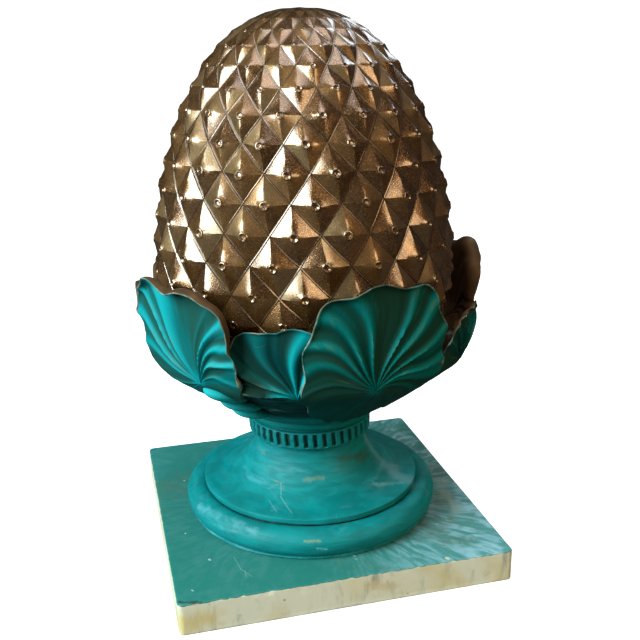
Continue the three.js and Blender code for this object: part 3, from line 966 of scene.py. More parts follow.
@dataclass(frozen=True)
class Plinth:
    """The square slab that the finial stands on.

    Attributes:
        finish: Its paint and casting.
        corner: Radius of its upright corners.
        edge: Radius of its long edges.
        wear: How far its faces dip.
        nick: Depth of its nicks.
        side_columns: Points along a side.
        corner_columns: Points around a corner.
    """

    finish: PlinthFinish
    corner: float = 4 * MM
    edge: float = 1.1 * MM
    wear: float = 0.5 * MM
    nick: float = 0.5 * MM
    side_columns: int = 100
    corner_columns: int = 8

    def outline(self, inset: Array, half: float) -> Array:
        """A square with round corners for each inset: straight sides, and a quarter turn between.

        Args:
            inset: How far each outline lies inside the slab's own.
            half: Half the slab's side.

        Returns:
            Points x and y, one row for each inset.
        """
        size = (half - inset)[:, None]
        round_off = np.minimum(np.maximum(self.corner - inset, 0.4 * MM), half - inset)[:, None]
        share = np.linspace(-1, 1, self.side_columns + 1)[None, :-1]
        turn = np.radians(np.linspace(-90, 0, self.corner_columns + 1))[None, :-1]
        side = np.stack(np.broadcast_arrays((size - round_off) * share, -size), axis=-1)
        bend = (size - round_off)[..., None] * np.array([1.0, -1.0])
        bend = bend + round_off[..., None] * np.stack([np.cos(turn), np.sin(turn)], axis=-1)
        quarter = np.concatenate([side, bend], axis=1)
        turned = [quarter]
        for _ in range(3):
            quarter = np.stack([-quarter[..., 1], quarter[..., 0]], axis=-1)
            turned.append(quarter)
        return np.concatenate(turned, axis=1)

    def build(self) -> None:
        """The slab: outlines from the middle of the underside, up the sides, to the middle of the
        top, pushed in by noise everywhere but underneath.
        """
        low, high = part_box("plinth")
        half, top = high[0], high[2]
        steps = np.radians(np.linspace(0, 90, 5))
        inset = np.concatenate([
            [half, 0.6 * half, 0.3 * half, 0.1 * half, 3 * self.edge], self.edge * (1 - np.sin(steps)),
            np.zeros(19), self.edge * (1 - np.cos(steps)), np.linspace(2 * self.edge, 0.5 * half, 34),
            [0.7 * half, half],
        ])
        height = np.concatenate([
            np.zeros(5), self.edge * (1 - np.cos(steps)),
            np.linspace(self.edge, top - self.edge, 21)[1:-1],
            top - self.edge * (1 - np.sin(steps)), np.full(36, top),
        ])
        flat = self.outline(inset, half)
        tall = np.broadcast_to(height[:, None, None], (*flat.shape[:2], 1))
        grid = np.concatenate([flat, tall], axis=-1)
        dip = 0.5 + 0.5 * layered_noise(grid, 55 * MM, 3)
        nicked = ease(layered_noise(grid, 7 * MM, 11), 0.42, 0.75)
        near_edge = ease(-np.abs(inset), -4 * MM, 0)[:, None]
        push = self.wear * dip + (0.25 + 0.9 * near_edge) * self.nick * nicked
        push = push * ease(height, 0.2 * MM, 2 * MM)[:, None]
        grid = grid - wrapped_normals(grid) * push[..., None]
        skin = Skin.from_grid(grid)
        skin.piece("slab", "plinth", Slot.RESIN, self.finish.material(), 60)


@dataclass(frozen=True)
class Foot:
    """The turned foot: a round ring, a disc with a bell on it, and a fluted collar.

    Attributes:
        finish: Its paint.
        ring_radius: Radius of the ring's middle.
        ring_half: Half width of the ring.
        ring_height: Height of the ring.
        disc_radius: Radius of the disc on the ring.
        disc_thickness: Thickness of the disc's edge.
        groove_depth: How far the groove under the disc goes in.
        groove_height: How far below the disc the groove starts.
        neck_radius: Radius of the bell's top.
        collar_radius: Radius of the collar.
        collar_height: Height of the collar.
        collar_lip: Roundness of the collar's edges.
        flute_pitch: Distance between flutes, around the collar.
        flute_width: Width of a flute.
        flute_depth: Depth of a flute.
        flute_margin: Plain band over and under the flutes.
        columns_per_flute: Points around the collar for each flute.
        edge_roundness: Roundness of the disc's edges.
        belly: How far the collar's sides bulge.
    """

    finish: TealPaint
    ring_radius: float = 83.5 * MM
    ring_half: float = 10.2 * MM
    ring_height: float = 19.6 * MM
    disc_radius: float = 80.3 * MM
    disc_thickness: float = 4.8 * MM
    groove_depth: float = 3.5 * MM
    groove_height: float = 1.5 * MM
    neck_radius: float = 40 * MM
    collar_radius: float = 45.2 * MM
    collar_height: float = 13.6 * MM
    collar_lip: float = 1.6 * MM
    flute_pitch: float = 6.76 * MM
    flute_width: float = 2.9 * MM
    flute_depth: float = 2.4 * MM
    flute_margin: float = 1.9 * MM
    columns_per_flute: int = 12
    edge_roundness: float = 0.9 * MM
    belly: float = 0.7 * MM

    @property
    def flute_count(self) -> int:
        """Number of flutes around the collar."""
        return round(FULL_TURN * self.collar_radius / self.flute_pitch)

    def profile(self, base: float, top: float) -> tuple[Array, Array]:
        """The foot's half section, from the middle of the underside to the middle of the top.

        Args:
            base: Height of the underside.
            top: Height of the collar's top.

        Returns:
            Rows of radius and height, and how worn the edge at each row is.
        """
        centre = (self.ring_radius, base + self.ring_height / 2)
        disc_base = base + self.ring_height
        disc_top = disc_base + self.disc_thickness
        collar_base = top - self.collar_height
        bend, lip = self.edge_roundness, self.collar_lip
        disc_side, collar = self.disc_radius - bend, self.collar_radius
        ring = arc(centre, (self.ring_half, self.ring_height / 2), -58, 112, 30)
        groove = (self.disc_radius - self.groove_depth, disc_base - self.groove_height)
        bell_half = (self.disc_radius - self.neck_radius, collar_base - disc_top)
        inner = ring[0][0]
        parts = [
            straight((0, base), (inner + 1.6 * MM, base), 5),
            np.array([[inner + 1.6 * MM, base], [inner + 1.2 * MM, base + 0.9 * MM]]),
            ring,
            arc((groove[0] + 0.6 * MM, groove[1] + 0.2 * MM), (0.8 * MM, 0.8 * MM), 230, 130, 3),
            arc((disc_side, disc_base + bend), (bend, bend), -80, 0, 3),
            arc((disc_side, disc_top - bend), (bend, bend), 0, 85, 4),
            arc((self.disc_radius, collar_base), bell_half, -92, -180, 34)[1:],
            arc((collar - lip, collar_base + lip), (lip, lip), -90, 0, 4),
            straight((collar, collar_base + lip), (collar, top - lip), 18)[1:],
            arc((collar - lip, top - lip), (lip, lip), 0, 90, 4),
            straight((collar - 2 * lip, top), (0, top), 5),
            np.array([[0, top]]),
        ]
        wear = [0, 0.9, 0, 0, 0.75, 0.8, 0, 0.55, 0, 0.6, 0, 0]
        return np.concatenate(parts), np.concatenate([np.full(len(p), w) for p, w in zip(parts, wear)])

    def flutes(self, angle: Array, height: Array, base: float) -> tuple[Array, Array]:
        """Depth of the flutes: upright slots, each with its own width, lean and depth.

        Args:
            angle: Angle of each column.
            height: Height of each row.
            base: Height of the collar's underside.

        Returns:
            The depth from 0 to 1 for each row and column, and how close each point is to an edge.
        """
        turn = angle / FULL_TURN * self.flute_count
        index = np.floor(turn)
        own = np.stack([index, index * 0, index * 0], axis=-1) + 0.5
        middle = base + self.collar_height / 2
        lean = 0.16 + 0.1 * smooth_noise(own, 1, 21)[None, :]
        rise = (height - middle)[:, None] / self.collar_height
        across = (turn - index - 0.5)[None, :] + lean * rise + 0.05 * smooth_noise(own, 1, 22)[None, :]
        half_width = self.flute_width / self.flute_pitch / 2
        half_width = half_width * (1 + 0.25 * smooth_noise(own, 1, 23)[None, :])
        margin = self.flute_margin * (1 + 0.2 * smooth_noise(own, 1, 24)[None, :])
        reach = self.collar_height / 2 - margin
        off = np.abs(height - middle)[:, None] - reach
        side = 1 - ease(np.abs(across), half_width - 0.06, half_width + 0.06)
        ends = 1 - ease(off, -0.6 * MM, 0.5 * MM)
        depth = side * ends * (1 + 0.2 * smooth_noise(own, 1, 25)[None, :])
        near = 1 - ease(np.abs(np.abs(across) - half_width - 0.07), 0.0, 0.13)
        return depth, near * (1 - ease(off, 0.4 * MM, 1.2 * MM))

    def build(self) -> None:
        """The foot: its half section turned about the axis, with flutes cut into the collar and
        the small unevenness of hand work.
        """
        low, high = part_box("foot")
        base, top = low[2], high[2]
        collar_base = top - self.collar_height
        profile, wear = self.profile(base, top)
        columns = self.flute_count * self.columns_per_flute
        angle = FULL_TURN * np.arange(columns) / columns
        radius, height = profile[:, :1], profile[:, 1:]
        grid = around_axis(radius, angle[None, :], height)
        depth, near = self.flutes(angle, profile[:, 1], collar_base)
        on_collar = ((profile[:, 1] > collar_base) & (profile[:, 0] > self.neck_radius))[:, None]
        depth, near = depth * on_collar, near * on_collar
        bulge = self.belly * (1 - (2 * (height - collar_base) / self.collar_height - 1) ** 2)
        push = on_collar * (bulge - self.belly - self.flute_depth * depth)
        above = ease(height, base + 1 * MM, base + 4 * MM) * ease(radius, 5 * MM, 20 * MM)
        uneven = 0.28 * MM * layered_noise(grid, 34 * MM, 5) + 0.1 * MM * layered_noise(grid, 6 * MM, 8)
        lip = (wear > 0.7)[:, None] * ease(radius, 0.07, 0.075)
        ragged = -0.35 * MM * (1 + layered_noise(grid, 9 * MM, 9)) * lip
        grid = grid + wrapped_normals(grid) * (push + above * uneven + ragged)[..., None]
        disc_base = base + self.ring_height
        under_lip = lip * (height < disc_base + 2 * MM)
        grid[..., 2] += 0.8 * MM * layered_noise(grid * np.array([1, 1, 0]), 45 * MM, 15) * under_lip
        # Painted shade in the flutes and in the groove under the disc.
        groove = (height < disc_base + 0.3 * MM) & (radius < self.disc_radius - 1 * MM)
        dark = np.maximum(depth, groove & (height > base + 0.8 * self.ring_height))
        # Pale on the worn edges, and on the flutes' edges as wear and as painted highlight.
        rim = np.maximum(0.7 * near, np.broadcast_to(wear[:, None], near.shape))
        dark = np.clip(dark, 0, 1)
        skin = Skin.from_grid(grid, valley=dark, rim=rim * (1 - dark), crest=0 * rim, inside=0 * rim)
        skin.piece("turned_foot", "foot", Slot.TEAL, self.finish.material(), 50)


@dataclass(frozen=True)
class Leaf:
    """One leaf of the cup, in shares of the cup's height and radius.

    Attributes:
        name: The piece's name after "leaf_".
        row: The row that it grows in.
        azimuth: Its direction from the front, in degrees.
        root: Height of its vein root.
        up: How far the blade reaches up from the root.
        left: How far it reaches left.
        right: How far it reaches right.
        down: How far it reaches down.
        roll: How far its lip rolls over, in degrees.
        square: How square its outline is, from 2 for an oval.
        lean: Where its veins head, in degrees from upright.
        gilt: Share of the reach from which its outside is bronze, over 1 for none.
        tone: Which lit or shaded copy of the teal paint it has, as painted light or shade.
        seed: Picks its unevenness.
    """

    name: str
    row: Row
    azimuth: float
    root: float
    up: float
    left: float
    right: float
    down: float
    roll: float
    square: float
    lean: float
    gilt: float
    tone: LeafLighting
    seed: int


@dataclass(frozen=True)
class Lobe:
    """One smooth lobe on the bowl's belly.

    Attributes:
        name: The piece's name after "lobe_".
        azimuth: Its direction from the front, in degrees.
        height: Height of its middle, as a share of the cup's height.
        half_width: Half its width around the bowl.
        half_height: Half its height.
        bulge: How far it stands out.
        tilt: How much it climbs to the right.
        seed: Picks its unevenness.
    """

    name: str
    azimuth: float
    height: float
    half_width: float
    half_height: float
    bulge: float
    tilt: float
    seed: int


OUTER, INNER = Row.OUTER, Row.INNER
# Each leaf's tone paints light or shade on it, by how it faces the lamps.
LEAVES: tuple[Leaf, ...] = (
    Leaf("front_left", OUTER, -36, 0.47, 0.55, 0.58, 0.24, 0.12, 130, 4.0, -15, 1.2, LeafLighting.BRIGHT, 1),
    Leaf("front_right", OUTER, 21, 0.46, 0.56, 0.4, 0.46, 0.33, 70, 2.8, 4, 1.2, LeafLighting.IN_SHADE, 2),
    Leaf("right", OUTER, 105, 0.47, 0.53, 0.24, 0.36, 0.31, 130, 2.5, 10, 0.6, LeafLighting.IN_SHADE, 3),
    Leaf("back", OUTER, 172, 0.46, 0.51, 0.43, 0.41, 0.32, 82, 2.5, 0, 1.2, LeafLighting.BRIGHT, 4),
    Leaf("back_left", OUTER, -122, 0.46, 0.42, 0.4, 0.28, 0.32, 110, 2.5, -8, 1.2, LeafLighting.BRIGHT, 5),
    Leaf("front_inner", INNER, -4, 0.42, 0.38, 0.42, 0.2, 0.11, 40, 3.2, -25, 1.2, LeafLighting.FOLDED, 6),
    Leaf("right_low", OUTER, 63, 0.45, 0.3, 0.24, 0.38, 0.36, 60, 2.5, 15, 0.9, LeafLighting.DARK, 7),
    Leaf("back_right_inner", INNER, 137, 0.47, 0.31, 0.26, 0.25, 0.27, 50, 2.5, 0, 1.2, LeafLighting.IN_SHADE, 8),
    Leaf("back_left_inner", INNER, -155, 0.47, 0.33, 0.25, 0.25, 0.27, 60, 2.5, 0, 1.2, LeafLighting.BRIGHT, 9),
    Leaf("left_inner", INNER, -82, 0.46, 0.4, 0.3, 0.17, 0.29, 110, 2.5, -10, 1.2, LeafLighting.BRIGHT, 10),
)
LOBES: tuple[Lobe, ...] = (
    Lobe("upper", -32, 0.39, 12 * MM, 7 * MM, 12 * MM, -0.3, 51),
    Lobe("middle", -30, 0.305, 11.5 * MM, 4.8 * MM, 13 * MM, -0.3, 52),
    Lobe("lower", -30, 0.22, 11.5 * MM, 5 * MM, 13.5 * MM, -0.3, 53),
)


@dataclass(frozen=True)
class LeafCup:
    """The bowl with its ring of ten leaves.

    Attributes:
        leaf_finishes: The leaves' paint by tone, in copies painted lit and shaded.
        bowl_finish: The bowl's paint, nearly black above the bead as painted shade.
        cone: The cone, which the bowl's hollow follows.
        leaves: The leaves.
        lobes: The stacked lobes under the front left leaf.
        cup_radius: Radius of the curve that the leaves follow, at its free end.
        cup_height: Height of the cup.
        stem_radius: Radius of the stem on the collar.
        stem_height: Height of the stem.
        bead_height: Height of the bead over the stem.
        bead_width: How far the bead stands out.
        floor_thickness: Height of the hollow's floor over the cup's underside.
        rim_height: Height of the bowl's rim over the floor.
        gutter: Gap between the bowl and the cone at the floor.
        clearance: Gap between them at the rim.
        bowl_setback: How far the bowl's outside lies behind the leaves' curve.
        inner_setback: How far the inner leaves lie behind it.
        thickness: Thickness of a blade.
        edge_thickness: Thickness of its edge.
        root_depth: How deep a blade goes into the bowl.
        root_fade: Height over the rim in which that ends.
        pleat_depth: Depth of the pleats.
        pleat_middle: Share of that which lies behind the leaves' curve.
        inner_pleats: How much deeper the inner leaves' pleats are.
        inside_pleats: Share of the pleats that shows inside.
        wave: How far the edges wave in and out.
        scallop: Depth of the scallops, as a share of the reach.
        roll_radius: Radius of the rolled lip.
        roll_power: How quickly the roll fades to the sides.
        pleats: Number of scallops round a leaf, by row.
        veins: Number of folds round a leaf, by row.
        columns: Points around a leaf.
        rows: Points from a leaf's root to its edge.
        bowl_columns: Points around the bowl.
        rim_rows: Rows of points up the bowl's rim, outside and inside.
        lobe_columns: Points around a lobe.
        lobe_rows: Rows of points over a lobe.
        shaded_from: Height over the cup's underside from which the bowl is darkened as painted shade.
        shaded_full: Height at which it is darkest.
    """

    leaf_finishes: dict[LeafLighting, TealPaint]
    bowl_finish: TealPaint
    cone: "Pinecone"
    leaves: tuple[Leaf, ...] = LEAVES
    lobes: tuple[Lobe, ...] = LOBES
    cup_radius: float = 121 * MM
    cup_height: float = 124 * MM
    stem_radius: float = 43.6 * MM
    stem_height: float = 3.6 * MM
    bead_height: float = 4 * MM
    bead_width: float = 6 * MM
    floor_thickness: float = 30.7 * MM
    rim_height: float = 24 * MM
    gutter: float = 3 * MM
    clearance: float = 11.6 * MM
    bowl_setback: float = 7.6 * MM
    inner_setback: float = 5.5 * MM
    thickness: float = 3.4 * MM
    edge_thickness: float = 1.2 * MM
    root_depth: float = 9 * MM
    root_fade: float = 18 * MM
    pleat_depth: float = 4.4 * MM
    pleat_middle: float = 0.49
    inner_pleats: float = 1.6
    inside_pleats: float = 0.45
    wave: float = 1.1 * MM
    scallop: float = 0.03
    roll_radius: float = 4.6 * MM
    roll_power: float = 1.6
    pleats: tuple[int, int] = (12, 9)
    veins: tuple[int, int] = (20, 11)
    columns: int = 216
    rows: int = 44
    bowl_columns: int = 200
    rim_rows: int = 12
    lobe_columns: int = 60
    lobe_rows: int = 25
    shaded_from: float = 18 * MM
    shaded_full: float = 25 * MM

    @property
    def wall(self) -> Array:
        """The curve that the outside of the leaves follows, as shares of radius and height."""
        return np.array([
            [0.37, 0], [0.43, 0.05], [0.515, 0.1], [0.6, 0.165], [0.73, 0.26], [0.857, 0.36],
            [0.935, 0.43], [0.965, 0.51], [0.985, 0.63], [0.995, 0.8], [1, 1], [1.005, 1.2],
        ])

    def wall_radius(self, height: Array) -> Array:
        """Radius of the leaves' curve: a smooth cubic through its points, read at each height.

        Args:
            height: Heights over the cup's underside.

        Returns:
            The radii.
        """
        knots = self.wall
        last = len(knots) - 1
        place = np.linspace(0, last, 400)
        index = np.minimum(place.astype(int), last - 1)
        part = (place - index)[:, None]
        before, here, there, after = (knots[np.clip(index + k, 0, last)] for k in (-1, 0, 1, 2))
        leave, arrive = (there - before) / 2, (after - here) / 2
        curve = ((2 * here - 2 * there + leave + arrive) * part**3
                 + (3 * there - 3 * here - 2 * leave - arrive) * part**2 + leave * part + here)
        return np.interp(height, curve[:, 1] * self.cup_height, curve[:, 0] * self.cup_radius)

    def reach(self, leaf: Leaf, bearing: Array) -> Array:
        """How far a blade reaches: a squared-off oval with its own half axis to each side, made
        scalloped by a cosine and ragged by noise.

        Args:
            leaf: The leaf.
            bearing: Bearings from its root, 0 up and positive to the right.

        Returns:
            The reach at each bearing.
        """
        pleats = self.pleats[leaf.row.value]
        side = self.cup_radius * np.where(np.sin(bearing) > 0, leaf.right, leaf.left)
        end = self.cup_height * np.where(np.cos(bearing) > 0, leaf.up, leaf.down)
        power = leaf.square
        sideways, upwards = np.abs(np.sin(bearing) / side), np.abs(np.cos(bearing) / end)
        oval = (sideways**power + upwards**power) ** (-1 / power)
        ring = bearing_places(bearing, 1.0, leaf.seed * 3.1)
        ragged = 0.018 * smooth_noise(ring, 0.5, leaf.seed)
        ragged = ragged + 0.012 * layered_noise(ring, 0.12, leaf.seed + 40)
        return oval * (1 + self.scallop * np.cos(pleats * bearing) + ragged - 0.012)

    def pleat(self, leaf: Leaf, bearing: Array, share: Array) -> Array:
        """Height of the pleats: sharp ridges with broad valleys between, which leave the root close
        together and bend apart, with finer ones between them towards the edge and a groove along
        the middle vein.

        Args:
            leaf: The leaf.
            bearing: Bearings from its root.
            share: Shares of the reach.

        Returns:
            Heights from 0 in a valley to 1 on a ridge.
        """
        veins = self.veins[leaf.row.value]
        off = bearing - math.radians(leaf.lean)
        sway = 0.2 * np.sin(4 * share + leaf.seed) * (1 - 0.5 * share)
        bent = off + (0.34 - 0.42 * share) * np.sin(off) + sway
        ring = bearing_places(bent, 1.0, leaf.seed * 1.7)
        bent = bent + 0.16 * smooth_noise(ring, 0.45, leaf.seed + 20)
        bent = bent + 0.05 * smooth_noise(ring, 0.16, leaf.seed + 21)
        broad = 1 - np.abs(np.sin(veins * bent / 2)) ** 1.3
        fine = 1 - np.abs(np.sin(veins * bent + 0.6)) ** 0.7
        strength = 0.68 + 0.85 * smooth_noise(ring, 0.22, leaf.seed + 60)
        groove = np.exp(-(((bent + math.pi) % FULL_TURN - math.pi) / 0.13) ** 2)
        forks = 0.35 * ease(share, 0.35, 0.8) * fine
        fanned = 0.25 * ease(np.cos(bent), -0.8, 0.1) + 0.75 * ease(np.cos(bent), -0.3, 0.6)
        return fanned * (strength * np.maximum(broad, forks) * (1 - groove) - 0.3 * groove * (1 - share))

    def blade(self, leaf: Leaf, bearing: Array, share: Array, pleating: float) -> Array:
        """Points of a blade's outside: it lies on the cup's curve, is pleated along its veins, and
        its upper lip rolls outwards round a circle.

        Args:
            leaf: The leaf.
            bearing: Bearings from its root.
            share: Shares of the reach.
            pleating: Share of the pleats' full depth.

        Returns:
            The points.
        """
        reach = self.reach(leaf, bearing)
        upness = np.maximum(0, np.cos(bearing)) ** self.roll_power
        distance = share * reach
        flat = np.minimum(distance, reach - self.roll_radius * math.radians(leaf.roll) * upness)
        turn = (distance - flat) / self.roll_radius
        length = flat + self.roll_radius * np.sin(turn)
        height = leaf.root * self.cup_height + length * np.cos(bearing)
        setback = 0.0 if leaf.row is OUTER else self.inner_setback
        fold = self.pleat(leaf, bearing, share) - self.pleat_middle
        ring = bearing_places(bearing, 1.0, leaf.seed * 2.3)
        wave = self.wave * smooth_noise(ring, 0.45, leaf.seed + 80) * share**3
        deep = self.pleat_depth * (1.0 if leaf.row is OUTER else self.inner_pleats)
        folded = pleating * deep * ease(share, -0.1, 0.5) * (1 - 0.35 * share**2) * fold
        outward = self.roll_radius * (1 - np.cos(turn)) + folded + wave
        radius = self.wall_radius(height) - setback + outward
        angle = FRONT + math.radians(leaf.azimuth) + length * np.sin(bearing) / self.cup_radius
        return around_axis(radius, angle, self.base + height)

    @property
    def base(self) -> float:
        """Height of the cup's underside."""
        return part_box("leaf_cup")[0][2]

    def leaf_skin(self, leaf: Leaf) -> Skin:
        """A closed sheet: the outside, a rounded edge, and the inside one thickness behind it,
        deeper below the bowl's rim, where the blade is one with the bowl.

        Args:
            leaf: The leaf.

        Returns:
            The skin, with masks for its valleys, rim and inside and its brush marks' direction.
        """
        bearing = FULL_TURN * np.arange(self.columns)[None, :] / self.columns
        share = (1 - (1 - np.linspace(0, 1, self.rows)) ** 1.25)[:, None]
        bearing, share = np.broadcast_arrays(bearing, share)
        outside = self.blade(leaf, bearing, share, 1.0)
        middle = self.blade(leaf, bearing, share, self.inside_pleats)
        normal = wrapped_normals(self.blade(leaf, bearing, share, 0.0))
        sign = np.sign(np.sum(normal[5] * np.array([1, 1, 0]) * middle[5]))
        normal = sign * normal
        normal[0] = normal[1]
        depth = max(self.thickness, self.root_depth - (0 if leaf.row is OUTER else self.inner_setback))
        rim_top = self.base + self.floor_thickness + self.rim_height
        free = ease(middle[..., 2], rim_top, rim_top + self.root_fade)
        thick = blend(depth, self.thickness, free)
        thick = blend(thick, self.edge_thickness, ease(share, 0.8, 1.0) * free)
        inside = middle - normal * thick[..., None]
        inside[0] = inside[0].mean(axis=0)
        outside[0] = outside[0].mean(axis=0)
        growth = outside[-1] - outside[-2]
        growth = growth / np.maximum(np.linalg.norm(growth, axis=-1, keepdims=True), TINY)
        turn = np.radians(np.array([45.0, 90.0, 135.0]))[:, None, None]
        centre, half = (outside[-1] + inside[-1]) / 2, (outside[-1] - inside[-1]) / 2
        swell = 0.5 * self.edge_thickness * growth
        edge = centre[None] + np.cos(turn) * half[None] + np.sin(turn) * swell[None]
        grid = np.concatenate([outside, edge, inside[::-1]])
        # Painted shade: the valley mask darkens the pleats' valleys, outside and a little inside, and on
        # inner leaves the lower left, tucked behind their neighbours.
        fold = self.pleat(leaf, bearing, share)
        valley = (1 - ease(fold, 0.0, 0.5)) * ease(share, 0.0, 0.2)
        if leaf.row is INNER:
            tucked = ease(np.cos(bearing + math.radians(125)), 0.1, 0.8) * ease(share, 0.1, 0.6)
            valley = np.maximum(valley, 1.6 * tucked)
        # The crest mask carries the painted highlight on the pleats' ridges, and the dry strokes.
        crest = ease(fold, 0.3, 0.8) * ease(share, 0.1, 0.4)
        edges = ease(share, 0.985, 1.0)
        gilt = ease(share * np.maximum(0, np.cos(bearing)) ** 0.5, leaf.gilt - 0.04, leaf.gilt + 0.04)
        ones = np.ones((3, self.columns))
        masks = {
            "valley": np.concatenate([valley, 0 * ones, 0.4 * valley[::-1]]),
            "rim": np.concatenate([edges, ones, edges[::-1]]),
            "crest": np.concatenate([crest, 0 * ones, 0 * share]),
            "inside": np.concatenate([gilt, np.maximum(0.3, gilt[-1:]) * ones, 0 * share + 1]),
        }
        along = np.stack([np.sin(bearing), np.cos(bearing), 0.25 * share], axis=-1) * 30 * MM
        masks["flow"] = np.concatenate([along, along[-1:], along[-1:], along[-1:], along[::-1]])
        return Skin.from_grid(grid, **masks)

    def bowl_skin(self) -> Skin:
        """The bowl: its half section, turned about the axis, with a bead at its foot and a hollow
        that follows the cone.

        Returns:
            The skin, with the leaves' masks.
        """
        base, columns = self.base, self.bowl_columns
        floor = base + self.floor_thickness
        up = np.linspace(0, self.rim_height, self.rim_rows)
        inner = self.cone.radius_at(up) + blend(self.gutter, self.clearance, up / self.rim_height)
        outer = self.wall_radius(self.floor_thickness + up) - self.bowl_setback
        outer = np.maximum(outer, inner + 4 * MM)
        bead = self.stem_height + self.bead_height
        belly_height = np.linspace(bead + 2 * MM, self.floor_thickness, 12)[:-1]
        towards_rim = ease(belly_height, 0.6 * self.floor_thickness, self.floor_thickness)
        setback = blend(self.inner_setback, self.bowl_setback, towards_rim)
        belly = self.wall_radius(belly_height) - setback
        stem, top = self.stem_radius, base + self.stem_height
        profile = np.concatenate([
            straight((0, base), (stem, base), 4),
            straight((stem, base), (stem - 0.8 * MM, base + 0.6 * self.stem_height), 4),
            arc((stem + 2.2 * MM, top + 2 * MM), (3.4 * MM, 3.2 * MM), 215, 275, 4),
            arc((stem + self.bead_width - 3 * MM, top + 2.6 * MM), (3.2 * MM, 3.4 * MM), -70, 50, 10),
            np.stack([belly, base + belly_height], axis=1),
            np.stack([outer, floor + up], axis=1),
            np.stack([inner, floor + up], axis=1)[::-1],
            straight((inner[0] * 0.8, floor), (0, floor), 3),
            np.array([[0, floor]]),
        ])
        angle = FULL_TURN * np.arange(columns)[None, :] / columns
        grid = around_axis(profile[:, :1], angle, profile[:, 1:])
        hollow_rows = self.rim_rows + 4
        outside = (np.arange(len(profile)) < len(profile) - hollow_rows)[:, None]
        uneven = 0.35 * MM * layered_noise(grid, 22 * MM, 31)
        uneven = uneven * outside * (profile[:, 1:] > base + 1 * MM)
        grid = grid + wrapped_normals(grid) * uneven[..., None]
        nothing = np.zeros(grid.shape[:2])
        # Painted shade: the belly above the bead turns nearly black, as shade under the leaves.
        deep = ease(profile[:, 1:], base + self.shaded_from, base + self.shaded_full) + nothing
        inside = nothing + ~outside
        return Skin.from_grid(
            grid, valley=deep * outside, rim=nothing, crest=nothing, inside=inside, flow=grid
        )

    def lobe_skin(self, lobe: Lobe) -> Skin:
        """A flat dome on the bowl's belly: an oval in the bearing and the height, which bulges by
        the cosine of its distance from the middle, and dips into the bowl behind.

        Args:
            lobe: The lobe.

        Returns:
            The skin, with the leaves' masks.
        """
        turn = FULL_TURN * np.arange(self.lobe_columns)[None, :] / self.lobe_columns
        share = np.linspace(0, math.pi, self.lobe_rows)[:, None]
        spread, bulge = np.sin(share), np.cos(share)
        across = lobe.half_width * spread * np.cos(turn)
        up = lobe.half_height * spread * np.sin(turn) + lobe.tilt * across
        height = lobe.height * self.cup_height + up
        radius = self.wall_radius(height) - self.bowl_setback + lobe.bulge * bulge
        angle = FRONT + math.radians(lobe.azimuth) + across / radius
        grid = around_axis(radius, angle, self.base + height)
        uneven = 0.25 * MM * layered_noise(grid, 8 * MM, lobe.seed)
        grid = grid + uneven[..., None] * wrapped_normals(grid)
        nothing = np.zeros(grid.shape[:2])
        # Painted shade under each lobe, and painted highlight on its top through the crest mask.
        under = ease(-spread * np.sin(turn), 0.62, 0.92)
        crest = ease(bulge * (1 - under), 0.1, 0.7)
        return Skin.from_grid(
            grid, valley=1.4 * under, rim=nothing, crest=crest, inside=nothing, flow=grid
        )

    def build(self) -> None:
        """The bowl, its lobes and its leaves, each a piece."""
        self.bowl_skin().piece("bowl", "leaf_cup", Slot.TEAL, self.bowl_finish.material(), 50)
        paints = {tone: finish.material() for tone, finish in self.leaf_finishes.items()}
        for lobe in self.lobes:
            name, paint = f"lobe_{lobe.name}", paints[LeafLighting.FOLDED]
            self.lobe_skin(lobe).piece(name, "leaf_cup", Slot.TEAL, paint, 60)
        for leaf in self.leaves:
            name, paint = f"leaf_{leaf.name}", paints[leaf.tone]
            self.leaf_skin(leaf).piece(name, "leaf_cup", Slot.TEAL, paint, 60)


